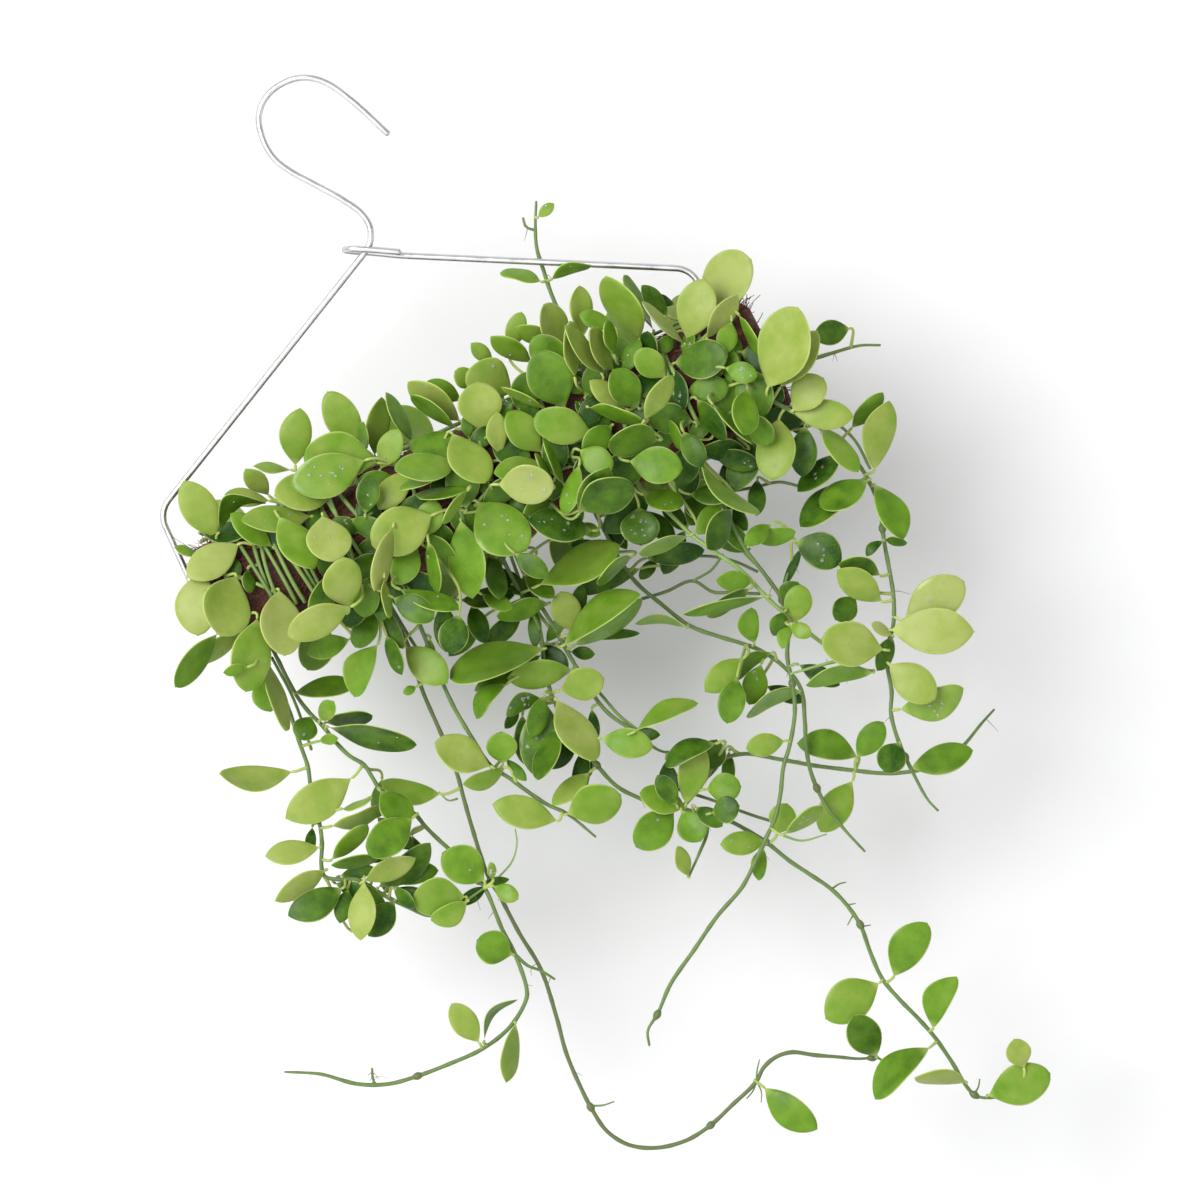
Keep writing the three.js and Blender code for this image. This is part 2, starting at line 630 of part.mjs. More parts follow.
// Left spray: two hanging stems that meet in a close cluster, and the thin shoot that leaves it
addSpray('left_spray', colours.shoot, front, [
  rootedRoute(-2, -4, [[-111, -219], [-109, -236], [-111, -258], [-112, -268], [-115, -278], [-117, -290],
    [-120, -300], [-124, -308], [-125, -313], [-120, -317], [-113, -320], [-108, -327], [-103, -334],
    [-97, -341], [-91, -347], [-78, -348], [-65, -346]]),
  rootedRoute(3, -2, [[-105, -219], [-104, -238], [-102, -247], [-99, -255], [-97, -263], [-94, -271],
    [-90, -277], [-89, -283], [-88, -290], [-84, -297], [-79, -305], [-77, -312], [-74, -320],
    [-70, -329], [-67, -338], [-65, -346], [-65.5, -365], [-65, -378], [-67, -394], [-70, -398],
    [-80, -404.5], [-94, -408], [-110, -408], [-125, -407], [-137, -405], [-149, -399.5], [-161, -389.5],
    [-168, -385.5], [-175, -382]]),
  branch(-2, 0, [[-65, -377], [-62, -384], [-58, -388], [-54, -394]]),
  branch(-2, -2, [[-142, -403.6], [-142, -400], [-140.5, -396]]),
], [
  [-104, -237, -80, -244.5, 9, 4, 1], [-102, -249, -110, -256, 11], [-97, -254, -78, -259.5, 7],
  [-99, -252, -90, -247, 8], [-97, -256, -66, -278.5, 10.5, 4, -0.7], [-119, -267, -147, -255, 11, 4, 2.5],
  [-97, -280, -129.5, -284, 17, 4, 1], [-113, -295, -90, -296, 7, 3, -2], [-103, -260, -95, -262, 5, 2],
  [-119, -308, -99, -301, 8], [-122, -301, -144, -295, 10.5],
  [-118, -322, -127, -334, 8], [-106, -327, -78, -319, 12, 4, -2], [-106, -290, -92, -291, 3, 3, -1],
  [-102, -335, -118, -344, 12.5], [-88, -290, -82, -307, 13], [-123, -311, -148, -314, 9.5],
  [-120, -321, -145.5, -322, 13.5, 4, 1], [-100, -316, -120, -310, 6], [-64, -343, -75, -325, 17, 4, -1],
  [-74, -346, -95, -338, 17, 4, -1], [-74, -348, -91, -349, 10, 2, 2], [-100, -330, -95, -341, 6, 1],
  [-110, -322, -86, -322, 10], [-80, -306, -103, -312, 15.5], [-110, -322, -121.5, -344, 12],
  [-60, -344, -58, -337, 4], [-61, -347, -54, -356, 8], [-66, -377, -77, -365, 15],
  [-94.5, -405, -98, -385, 11.5], [-92, -405, -72, -395, 3.5, 1, 5], [-77, -404, -91, -425, 8],
], besideStem);

// Shoot that crosses from right to left and ends bare
addSpray('crossing_shoot', colours.shoot, front, [
  rootedRoute(2, -8, [[95, -219], [95, -240], [96, -262], [99, -275], [101, -288], [98, -300], [93, -310],
    [90, -322], [86, -333], [78, -345], [72, -352], [66, -362], [60, -370], [52, -377], [45, -383],
    [35, -391], [20, -398], [5, -407], [-10, -416], [-20, -425], [-27, -430], [-29, -436]]),
  branch(-8, -9, [[101, -289], [104, -283], [110, -276], [118, -272]]),
], [
  [101, -260, 118, -263, 8], [110, -256, 96, -259, 8], [101, -290, 110, -283, 12],
  [117, -267, 130, -283, 16, 4, 1], [77, -342, 61, -338, 10], [61, -378, 80, -374, 7, 2],
], besideStem);

// Thick pale shoot right of the middle
addSpray('pale_shoot', colours.shoot, front, [
  rootedRoute(-8, -17, [[66, -219], [72, -232], [77, -245], [83, -256], [90, -268], [96, -285],
    [102, -298], [110, -313], [118, -326], [124, -331]]),
  branch(-17, -17, [[116, -321], [104, -319], [91, -317]]),
], [
  [93, -275, 79, -268, 9], [90, -277, 69, -280, 7], [95, -283, 60, -275, 5],
  [102, -298, 110.5, -284.5, 12, 2],
  [100, -292, 91, -299, 8, 2], [100, -299, 92, -305.5, 6, 3, -1.5], [99, -298, 105.5, -305.5, 7],
  [123, -331, 95, -324, 8, 3, -2],
], besideStem);

// Dense leaves over the log's top and front
addSpray('front_foliage', colours.leaf, front, drapedStems(-1, DRAPE_COUNT, DRAPE_STEP, 0, -12, 156), [
  [31, -144, 26, -133, 7], [12, -153, 2, -140, 9], [20, -150, 15, -141, 9], [40, -142, 51, -130, 9],
  [57, -146, 46, -135, 8], [62, -152, 61, -131, 13], [71, -150, 78, -130, 10], [99, -160, 97, -134, 6],
  [46, -151, 35, -134, 9], [112, -154, 104, -147, 5], [107, -157, 102, -141, 8],
  [-63.5, -149, -51.5, -128, 14, 4, 1],
  [-36, -154, -38, -126.5, 15], [-66, -150, -80, -142, 4.5], [-80, -158, -96, -148, 8],
  [-79, -156, -83, -142, 9], [-106, -164, -109, -136, 15.5], [-31, -159, -18, -138, 10],
  [-35, -156, -29, -145, 5], [-14, -160, -15.5, -137, 6.5], [8, -161, -5, -137, 12], [5, -163, -6, -143, 6],
  [58, -162, 51, -142, 15], [33, -159, 19, -144, 18, 4, -2], [92, -161, 90, -131.5, 14],
  [84, -152, 73, -141, 8], [121, -157, 148.5, -150.5, 22], [-104, -162, -81, -159, 7, 5, 8],
  [-86, -177, -96, -157, 10], [-66, -172, -93, -162, 12], [-31, -166, -17, -154, 11],
  [-52, -165, -76, -158, 17], [-31, -163, -58, -148, 21, 4, -1.5],
  [-35, -160, -68, -157, 19, 4, 1], [-20, -172, -39, -181, 12],
  [-4, -178, -27, -178, 5], [-1, -177, -25, -170, 13], [3, -165, 7, -190, 16.5], [15, -169, 22, -150, 19],
  [51, -175, 50, -149, 20], [43, -172, 30, -156, 3.5], [18, -182, 24, -165, 9, 4, 1],
  [60, -165, 68, -143, 8], [71, -168, 65, -144, 8], [76, -169, 74, -150, 9], [79, -163, 82, -149, 6],
  [108, -171, 99, -148, 5], [95, -181, 88, -166, 12], [74, -186, 65, -169, 9], [79, -188, 76, -169, 14],
  [110, -170, 127, -150, 17], [118, -173, 137, -162, 9], [130, -171, 121, -182, 9],
  [134, -170, 135, -189, 4], [-115, -168, -124, -160, 4], [-118, -174, -130, -198, 18, 4, -1.5],
  [-99, -170, -124, -174, 15], [-113, -205, -137, -208, 8], [-122, -201, -147, -214, 10],
  [-105, -182, -121, -202, 21], [-78, -167, -73, -193, 15], [-61, -174, -64, -194, 19],
  [-27, -200, -15, -188, 12], [-30, -202, -45, -213, 12], [-19, -193, -47, -194, 21],
  [-36, -191, -54, -212, 8], [-22, -182, -2, -190, 6], [-1, -190, -16, -198, 4], [35, -195, 12, -188, 12],
  [34, -188, 28, -167, 14], [57, -190, 37, -174, 16], [37, -204, 37, -183, 4], [33, -203, 31, -188, 4],
  [66, -190, 50, -196, 11], [49, -194, 58, -207, 12], [12, -193, 33, -203, 17], [60, -179, 78, -194, 6],
  [79, -194, 97, -182, 9], [81, -204, 62, -196, 14], [66, -207, 85, -219, 16], [101, -190, 117, -196, 12],
  [101, -177, 122, -184, 17], [119, -188, 129.5, -197, 9], [103, -195, 107, -216, 8],
  [108, -200, 116, -222, 4], [124, -200, 114, -217, 12], [88, -197, 89, -212, 5], [92, -205, 93, -222, 10],
  [-112, -225, -116, -240, 14], [-108, -222, -113, -250, 7], [-104, -202, -121, -228, 17],
  [-116, -219, -126, -217, 5, 1], [-91, -195, -100, -221, 18], [-73, -226, -92, -224, 10],
  [-63, -233, -81, -249, 13, 4, -3.5], [-58, -231, -59, -249, 7, 2], [-58, -220, -72, -230, 11],
  [-67, -214, -60, -194, 17, 4, 1.5], [-66, -214, -95, -214, 14], [-25, -203, -30, -224, 6],
  [-48, -209, -53, -225, 4], [-48, -218, -36, -233, 12], [-44, -216, -25, -234, 8],
  [-26, -236, -36, -249, 13], [-14, -232, -5, -243, 7], [-3, -218, -8, -237, 9], [-9, -200, -18, -232, 16],
  [1, -196, 11, -223, 23, 4, -1.5], [36, -222, 42, -230, 6], [40, -227, 17, -212, 14],
  [6, -222, 15, -237, 9, 2], [46, -200, 32, -216, 8], [38, -217, 63, -216, 16], [38, -218, 57, -206, 12],
  [62, -226, 56, -241, 17], [66, -222, 79, -233, 10], [95, -238, 80, -247, 9], [98, -243, 81, -254, 11],
  [76, -246, 54, -244, 6], [84, -230, 100, -238, 9], [93, -221, 106, -250, 7, 4, -3],
  [100, -219, 116, -231, 9, 2],
], offLog(-1));

// Thin shoot out of the log's right end
addSpray('end_shoot', colours.shoot, front, [
  rootedRoute(-6, -8, [[145, -197.5], [153, -199], [164, -200.5], [176, -202.5], [184, -206]],
    new THREE.Vector3(-14, 0, 1)),
], [
  [175, -194, 160, -191, 11, 2],
], besideStem);

// Outer right shoot, which springs from the log's front near its right end
addSpray('outer_shoot', colours.shoot, front, [
  rootedRoute(-31, -12, [[131, -208], [138, -217], [146, -228], [152, -240], [155, -252], [155, -268],
    [152, -278], [150, -285], [147, -297], [144, -307], [139, -317], [134, -323], [130, -331],
    [127, -342], [123, -350], [121, -362], [121, -377], [122, -390], [124, -396]],
    new THREE.Vector3(-2, 15, 3)),
], [
  [158, -233, 176, -225, 8], [151, -255, 121, -262, 12.5, 4, -1.5], [150, -241, 126, -248, 10, 2],
  [140, -224, 130, -243, 12, 2], [151, -282, 159, -287, 4], [150, -282, 141, -285, 4.5, 2, -1],
  [130, -299, 118, -304, 11], [143, -295, 129, -283, 8, 2, -2], [137, -321, 125, -331, 8],
  [137, -320, 131, -312, 5], [121, -363, 110, -371, 13], [127, -350, 155, -353, 14, 4, -3],
  [146, -227, 152.5, -251, 10], [159.5, -253, 177, -229, 14, 4, 1.5], [155, -256, 132, -258, 12.5],
  [157, -259, 158, -285, 13, 4, 1.5], [139, -305, 127.5, -285, 13], [131, -324, 109, -309, 19.5],
  [145, -316, 174, -312, 19], [138, -318, 169, -333, 20], [131, -331, 142, -352, 16],
  [138, -217, 160, -229, 13], [138, -216, 155, -209, 15, 4, 1], [131, -217, 118, -239, 17],
  [137, -205, 161, -190, 13], [132, -203, 157, -178, 23],
], besideStem);

// Leaves on the back: rows round the log, each leaf turned and shifted by a repeatable draw
const DRAW_FACTOR = 16807;
const DRAW_MODULUS = 2147483647;

function seededDraw(seed) {
  let state = seed;
  return () => {
    state = (state * DRAW_FACTOR) % DRAW_MODULUS;
    return state / DRAW_MODULUS;
  };
}

function backRows() {
  const draw = seededDraw(71);
  const rows = [];
  const levels = [-170, -184, -198, -212];
  levels.forEach((z, level) => {
    for (let k = 0; k < 8; k += 1) {
      const x = -94 + k * 29 + (level % 2) * 12 + 7 * (draw() - 0.5);
      const bz = z + 7 * (draw() - 0.5);
      const heading = (level === 0 ? 90 : -90) + 110 * (draw() - 0.5);
      const length = 21 + 7 * draw();
      const a = THREE.MathUtils.degToRad(heading);
      const width = length * (0.35 + 0.4 * draw());
      rows.push([x, bz, x + length * Math.cos(a), bz + length * Math.sin(a), width, 3 + 4 * draw()]);
    }
  });
  return rows;
}

addSpray('back_foliage', colours.backLeaf, back, drapedStems(1, 9, 28, 7, 28, 156), backRows(), offLog(1));

// The wire, and the log with its channel for the wire and a hole for each rooted stem
addMesh('hanger_wire', toGeometry(toSolid(tube(wire, WIRE_RADIUS, WIRE_SIDES))), colours.wire);

const channel = [
  new THREE.Vector3(-CORNER_X, 0, LEFT_CHANNEL_TOP),
  ...wire.filter((p) => p.y === 0 && p.z < LOG_Z + 2 * LOW_BEND),
  new THREE.Vector3(CORNER_X, 0, RIGHT_CHANNEL_TOP),
];
const bores = [tube(channel, WIRE_RADIUS + GAP, WIRE_SIDES)];
holes.forEach((hole) => bores.push(tube(hole, STEM_RADIUS + GAP, BORE_SIDES)));
let log = logSolid();
bores.forEach((bore) => {
  log = log.subtract(toSolid(bore));
});
addMesh('coir_log', toGeometry(log), colours.coir);

export default part;
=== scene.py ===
# %% [markdown]
# # A dischidia on a coir log, hung in a wire hanger
#
# This lesson dresses a plain solid model of a hanging plant. The plant is a dischidia, a climber
# with thick round leaves the size of coins. It grows on a log of pressed coconut fibre, and the log
# hangs in a bent wire hanger with an open hook.
#
# The solid model comes in as a fixed frame, in metres. Nothing in it is moved. Each spray of leaves
# in it is a handful of flat facets, so this script lays the same leaves again, in the same places,
# as thick curved blades on smooth stems.

import math

import bpy
import numpy as np
from mathutils import Matrix, Vector


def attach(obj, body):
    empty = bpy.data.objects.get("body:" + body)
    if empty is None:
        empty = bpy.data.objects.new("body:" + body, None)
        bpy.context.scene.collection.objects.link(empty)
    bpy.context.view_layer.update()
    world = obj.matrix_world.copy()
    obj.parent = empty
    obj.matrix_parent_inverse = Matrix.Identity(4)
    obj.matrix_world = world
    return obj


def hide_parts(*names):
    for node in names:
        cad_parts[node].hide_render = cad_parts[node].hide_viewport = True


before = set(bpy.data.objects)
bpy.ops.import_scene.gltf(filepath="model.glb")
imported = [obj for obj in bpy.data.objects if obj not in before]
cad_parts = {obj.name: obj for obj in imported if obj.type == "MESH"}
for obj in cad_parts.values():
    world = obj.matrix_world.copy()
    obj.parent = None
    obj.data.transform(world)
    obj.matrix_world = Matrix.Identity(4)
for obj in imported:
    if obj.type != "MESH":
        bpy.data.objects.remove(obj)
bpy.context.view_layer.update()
UNIT = 0.001
print("nodes in the frame:", ", ".join(sorted(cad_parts)))

# %% [markdown]
# The photograph looks straight at the hanger, but it was turned, so that the hanger leans to the
# left in it. A camera can be made with look-at tricks, but here its three axes are known, so they
# are written down: the picture's right and up are both turned by the same angle about the line of
# sight. It stands far off with a long lens, because the photograph shows almost no perspective.

# %% Camera
PHOTO_TURN = math.radians(24.55)
PHOTO_WIDTH = 0.5112
PHOTO_CENTRE = (0.0306, 0.0, -0.2550)
CAMERA_DISTANCE = 3.5
SENSOR = 36.0

right = np.array([math.cos(PHOTO_TURN), 0, -math.sin(PHOTO_TURN)])
up = np.array([math.sin(PHOTO_TURN), 0, math.cos(PHOTO_TURN)])
back = np.array([0.0, -1.0, 0.0])
camera_data = bpy.data.cameras.new("camera")
camera_data.sensor_width = SENSOR
camera_data.lens = SENSOR * CAMERA_DISTANCE / PHOTO_WIDTH
camera_data.clip_end = 50
camera = bpy.data.objects.new("camera", camera_data)
camera.matrix_world = Matrix([
    (right[0], up[0], back[0], PHOTO_CENTRE[0]),
    (right[1], up[1], back[1], PHOTO_CENTRE[1] - CAMERA_DISTANCE),
    (right[2], up[2], back[2], PHOTO_CENTRE[2]),
    (0, 0, 0, 1),
])
bpy.context.scene.collection.objects.link(camera)
bpy.context.scene.camera = camera
print(f"lens {camera_data.lens:.0f} mm at {CAMERA_DISTANCE} m")

# %% [markdown]
# The colours of leaves and fibres are given as a colour picker shows them, with numbers from 0 to 255.
# The renderer works in linear light, so `colour` turns one into the other. They could be typed in as
# linear values at once, but then nobody could compare them with the photograph.

# %% Colours from a picker
def colour(red, green, blue):
    linear = []
    for value in (red, green, blue):
        share = value / 255
        linear.append(share / 12.92 if share <= 0.04045 else ((share + 0.055) / 1.055) ** 2.4)
    return (*linear, 1.0)


print("a fresh leaf's green in linear light:", [round(value, 3) for value in colour(100, 140, 32)])

# %% [markdown]
# Materials are made of nodes, which could be placed and wired by hand in the shader editor. A script
# needs several lines for each node. To keep the recipes below short, a small class adds nodes by name
# and wires them up.

# %% Recipes for materials
NOISE_ROUGHNESS = 0.55


class Recipe:
    """A new material, with short calls to add its nodes"""

    def __init__(self, name):
        self.material = bpy.data.materials.new(name)
        self.material.use_nodes = True
        self.nodes = self.material.node_tree.nodes
        self.links = self.material.node_tree.links
        self.shader = self.nodes["Principled BSDF"]

    def node(self, kind, **inputs):
        made = self.nodes.new(kind)
        for key, value in inputs.items():
            self.feed(made, key.replace("_", " ").title(), value)
        return made

    def feed(self, node, socket, value):
        target = node.inputs[socket]
        if isinstance(value, bpy.types.NodeSocket):
            self.links.new(value, target)
        else:
            target.default_value = value

    def noise(self, scale, detail, stretch=None):
        place = self.node("ShaderNodeTexCoord").outputs["Object"]
        if stretch is not None:
            mapping = self.node("ShaderNodeMapping", vector=place)
            mapping.inputs["Scale"].default_value = stretch
            place = mapping.outputs["Vector"]
        texture = self.node("ShaderNodeTexNoise", vector=place, scale=scale, detail=detail)
        self.feed(texture, "Roughness", NOISE_ROUGHNESS)
        return texture.outputs["Fac"]

    def ramp(self, value, stops):
        made = self.node("ShaderNodeValToRGB", fac=value)
        elements = made.color_ramp.elements
        while len(elements) < len(stops):
            elements.new(0.5)
        for element, (position, shade) in zip(elements, stops):
            element.position = position
            element.color = shade if isinstance(shade, tuple) else (shade, shade, shade, 1)
        return made.outputs["Color"]

    def mix(self, share, first, second):
        made = self.nodes.new("ShaderNodeMix")
        made.data_type = "RGBA"
        self.feed(made, 0, share)
        self.feed(made, 6, first)
        self.feed(made, 7, second)
        return made.outputs[2]

    def maths(self, kind, first, second):
        made = self.nodes.new("ShaderNodeMath")
        made.operation = kind
        self.feed(made, 0, first)
        self.feed(made, 1, second)
        return made.outputs[0]

    def stirred(self, value, noise, amount):
        """A value that a noise moves up and down"""
        swing = self.maths("MULTIPLY", self.maths("SUBTRACT", noise, 0.5), amount)
        return self.maths("ADD", value, swing)

    def bump(self, height, distance, strength, normal=None):
        made = self.node("ShaderNodeBump", height=height, distance=distance, strength=strength)
        if normal is not None:
            self.feed(made, "Normal", normal)
        return made.outputs["Normal"]

    def mark(self):
        """The four numbers that the plant's points carry: tone, rim, along, and outer face"""
        marked = self.node("ShaderNodeAttribute")
        marked.attribute_name = "mark"
        parts = self.node("ShaderNodeSeparateColor", color=marked.outputs["Color"])
        return (*parts.outputs, marked.outputs["Alpha"])


print("a recipe can add:", ", ".join(name for name in vars(Recipe) if not name.startswith("_")))

# %% [markdown]
# The plant was photographed on plain white, close to the surface, with soft light from the upper
# left, so a blurred grey shadow falls down and to the right of it. A white wall stands just behind
# the plant here, near enough to take that shadow. It could be a plain plane, but it would hide the
# plant in a view from behind, so its back faces let light through. A pale floor lies below.

# %% Wall and floor
WALL_Y = 0.105
FLOOR_Z = -0.64
STAGE_REACH = 4.0
BACKDROP_WHITE = (0.77, 0.77, 0.775, 1)


def stage_plane(name, corners, material):
    mesh = bpy.data.meshes.new(name)
    mesh.from_pydata(corners, [], [(0, 1, 2, 3)])
    mesh.materials.append(material)
    plane = bpy.data.objects.new(name, mesh)
    bpy.context.scene.collection.objects.link(plane)
    return plane


def backdrop_material():
    recipe = Recipe("white backdrop")
    recipe.feed(recipe.shader, "Base Color", BACKDROP_WHITE)
    recipe.feed(recipe.shader, "Roughness", 0.9)
    recipe.feed(recipe.shader, "Specular IOR Level", 0.1)
    behind = recipe.node("ShaderNodeNewGeometry").outputs["Backfacing"]
    clear = recipe.node("ShaderNodeBsdfTransparent").outputs[0]
    mixed = recipe.nodes.new("ShaderNodeMixShader")
    recipe.feed(mixed, 0, behind)
    recipe.feed(mixed, 1, recipe.shader.outputs[0])
    recipe.feed(mixed, 2, clear)
    recipe.feed(recipe.nodes["Material Output"], "Surface", mixed.outputs[0])
    return recipe.material


backdrop = backdrop_material()
reach = STAGE_REACH
stage_plane("wall", [
    (-reach, WALL_Y, FLOOR_Z), (reach, WALL_Y, FLOOR_Z), (reach, WALL_Y, reach), (-reach, WALL_Y, reach),
], backdrop)
stage_plane("floor", [
    (-reach, -reach, FLOOR_Z), (reach, -reach, FLOOR_Z), (reach, reach, FLOOR_Z), (-reach, reach, FLOOR_Z),
], backdrop)
print("wall at", WALL_Y, "m behind, floor at", FLOOR_Z, "m")

# %% [markdown]
# The light in the photograph is soft and comes from the upper left, somewhat from the front, as from a
# lamp behind a large sheet of tracing paper. A sun lamp would draw hard shadows of every leaf. A wide
# disk far off gives the blurred ones.

# %% Key light
KEY_AIM = np.array([0.03, 0.0, -0.30])
KEY_WAY = np.array([0.44, 1.0, -0.53])
KEY_DISTANCE = 4.0
KEY_SIZE = 2.8
KEY_POWER = 160


def area_light(name, aim, way, distance, size, power):
    data = bpy.data.lights.new(name, "AREA")
    data.shape = "DISK"
    data.size = size
    data.energy = power
    lamp = bpy.data.objects.new(name, data)
    way = way / np.linalg.norm(way)
    lamp.location = aim - way * distance
    lamp.rotation_mode = "QUATERNION"
    lamp.rotation_quaternion = Vector(way).to_track_quat("-Z", "Y")
    bpy.context.scene.collection.objects.link(lamp)
    return lamp


key_light = area_light("key light", KEY_AIM, KEY_WAY, KEY_DISTANCE, KEY_SIZE, KEY_POWER)
print("key light at", [round(value, 2) for value in key_light.location], "m")

# %% [markdown]
# The rest of the light comes from a white room all round. An even white world would wash out the dark
# sides of the leaves and the shadows among them, so the room is bright on the key light's side and
# dim on the other. The picture is shown with plain values, which keeps the white wall white.

# %% White room
SKY_STRENGTH = 0.5
SKY_SHADE = 0.22
SKY_GLOW = 1.3
SKY_DIM_AT = -0.6
SKY_BRIGHT_AT = 0.8


def white_room():
    """A world whose brightness grows from the dim side to the key light's side"""
    world = bpy.data.worlds.new("white room")
    world.use_nodes = True
    nodes, links = world.node_tree.nodes, world.node_tree.links
    direction = nodes.new("ShaderNodeTexCoord")
    facing = nodes.new("ShaderNodeVectorMath")
    facing.operation = "DOT_PRODUCT"
    links.new(direction.outputs["Generated"], facing.inputs[0])
    facing.inputs[1].default_value = -KEY_WAY / np.linalg.norm(KEY_WAY)
    spread = nodes.new("ShaderNodeMapRange")
    links.new(facing.outputs["Value"], spread.inputs["Value"])
    spread.inputs["From Min"].default_value = SKY_DIM_AT
    spread.inputs["From Max"].default_value = SKY_BRIGHT_AT
    spread.inputs["To Min"].default_value = SKY_STRENGTH * SKY_SHADE
    spread.inputs["To Max"].default_value = SKY_STRENGTH * SKY_GLOW
    links.new(spread.outputs["Result"], nodes["Background"].inputs["Strength"])
    nodes["Background"].inputs["Color"].default_value = (1, 1, 1, 1)
    return world


bpy.context.scene.world = white_room()
bpy.context.scene.view_settings.view_transform = "Standard"
print("the room's light goes from", SKY_STRENGTH * SKY_SHADE, "to", SKY_STRENGTH * SKY_GLOW)

# %% [markdown]
# Almost everything on the plant is a string of rings: a stem is a string of circles, a leaf is a
# string of lens-shaped sections between its stalk and its tip. `Heap` gathers such strings and turns
# them into one mesh, far faster than making an object for each. Every point also carries a mark of
# four numbers, which the materials read: the leaf's tone or the stem's youth, how near the rim the
# point is, how far along it is, and whether it is on the outer face.

# %% Heap of ringed shapes
class Heap:
    def __init__(self):
        self.points = []
        self.marks = []
        self.faces = []
        self.looks = []
        self.count = 0

    def add(self, rings, start, end, marks, look):
        """rings is steps x around x 3. start and end are the points that close the string."""
        steps, around, _ = rings.shape
        first = self.count
        self.points += [start[None, :], rings.reshape(-1, 3), end[None, :]]
        marks = np.asarray(marks, float)
        self.marks += [marks[0, :1], marks.reshape(-1, 4), marks[-1, :1]]
        ring = np.arange(around)
        after = (ring + 1) % around
        base = first + 1
        for step in range(steps - 1):
            low = base + step * around
            high = low + around
            self.faces += np.stack([low + ring, low + after, high + after, high + ring], 1).tolist()
        self.faces += np.stack([np.full(around, first), base + after, base + ring], 1).tolist()
        last = base + (steps - 1) * around
        tip = base + steps * around
        self.faces += np.stack([last + ring, last + after, np.full(around, tip)], 1).tolist()
        self.looks += [look] * (around * (steps + 1))
        self.count += steps * around + 2

    def make(self, name, materials):
        mesh = bpy.data.meshes.new(name)
        mesh.from_pydata((np.concatenate(self.points) * UNIT).tolist(), [], self.faces)
        mesh.polygons.foreach_set("material_index", self.looks)
        mesh.polygons.foreach_set("use_smooth", [True] * len(mesh.polygons))
        marks = mesh.attributes.new("mark", "FLOAT_COLOR", "POINT")
        marks.data.foreach_set("color", np.concatenate(self.marks).ravel())
        for material in materials:
            mesh.materials.append(material)
        mesh.update()
        piece = bpy.data.objects.new(name, mesh)
        bpy.context.scene.collection.objects.link(piece)
        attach(piece, "root")
        return piece


print("a heap holds", ", ".join(vars(Heap())))

# %% [markdown]
# A stem, a wire and a fibre are all tubes. A curve object with a round bevel makes tubes too, but it
# can't carry the marks, and thousands of curves are slow. Here each tube is a string of circles in a
# heap. Its two side directions are carried along the path, so that the tube doesn't twist.

# %% Tubes
TUBE_SIDE = np.array([0.31, 0.87, 0.38])
START_CAP = 0.4
END_CAP = 0.6


def unit(vector):
    return vector / np.linalg.norm(vector)


def frames_along(path, across):
    """Two unit vectors square to the path at each of its points, carried along without twisting"""
    ways = np.gradient(path, axis=0)
    ways /= np.linalg.norm(ways, axis=1)[:, None]
    side = across - ways[0] * (across @ ways[0])
    sides, others = [], []
    for way in ways:
        side = unit(side - way * (side @ way))
        sides.append(side)
        others.append(np.cross(way, side))
    return np.array(sides), np.array(others), ways


def tube(heap, path, radii, around, mark, look):
    """A round string of circles along a path, closed at both ends by a low cone"""
    sides, others, ways = frames_along(path, TUBE_SIDE)
    turns = np.linspace(0, 2 * np.pi, around, endpoint=False)[:, None]
    circle = np.cos(turns) * sides[:, None, :] + np.sin(turns) * others[:, None, :]
    rings = path[:, None, :] + circle * np.asarray(radii)[:, None, None]
    marks = np.tile(np.asarray(mark, float), (len(path), around, 1))
    marks[:, :, 2] = np.linspace(0, 1, len(path))[:, None]
    start = path[0] - ways[0] * radii[0] * START_CAP
    end = path[-1] + ways[-1] * radii[-1] * END_CAP
    heap.add(rings, start, end, marks, look)


trial_heap = Heap()
trial_path = np.array([(0.0, 0.0, 0.0), (0.0, 0.0, 5.0), (2.0, 0.0, 10.0)])
tube(trial_heap, trial_path, (1, 1, 1), 8, (0, 0, 0, 1), 0)
print("a tube of 3 circles with 8 sides has", trial_heap.count, "points")

# %% [markdown]
# Stems follow a few points that were read off the photograph. A Catmull-Rom curve goes through every
# one of its points, which a Bezier curve with automatic handles doesn't do as evenly. Its centripetal
# form doesn't overshoot where points lie close together.

# %% Smooth routes
CURVE_PARTS = 200


def root_of_gap(before, after):
    """The square root of the distance, which makes the curve centripetal"""
    return np.sum((after - before) ** 2, axis=1)[:, None] ** 0.25


def spaced_points(points, step):
    """Points about every step millimetres along a smooth curve through the given ones"""
    points = np.asarray(points, float)
    padded = np.vstack([2 * points[0] - points[1], points, 2 * points[-1] - points[-2]])

    def at(share):
        place = share * (len(points) - 1)
        i = np.minimum(np.floor(place).astype(int), len(points) - 2)
        w = (place - i)[:, None]
        p0, p1, p2, p3 = (padded[i + k] for k in range(4))
        d0, d1, d2 = (root_of_gap(a, b) for a, b in ((p0, p1), (p1, p2), (p2, p3)))
        m1 = ((p1 - p0) / d0 - (p2 - p0) / (d0 + d1) + (p2 - p1) / d1) * d1
        m2 = ((p2 - p1) / d1 - (p3 - p1) / (d1 + d2) + (p3 - p2) / d2) * d1
        return p1 + m1 * w + (3 * (p2 - p1) - 2 * m1 - m2) * w ** 2 + (2 * (p1 - p2) + m1 + m2) * w ** 3

    shares = np.linspace(0, 1, CURVE_PARTS + 1)
    chords = np.linalg.norm(np.diff(at(shares), axis=0), axis=1)
    run = np.concatenate([[0], np.cumsum(chords)])
    count = max(3, int(run[-1] / step + 0.5))
    return at(np.interp(np.linspace(0, run[-1], count + 1), run, shares))


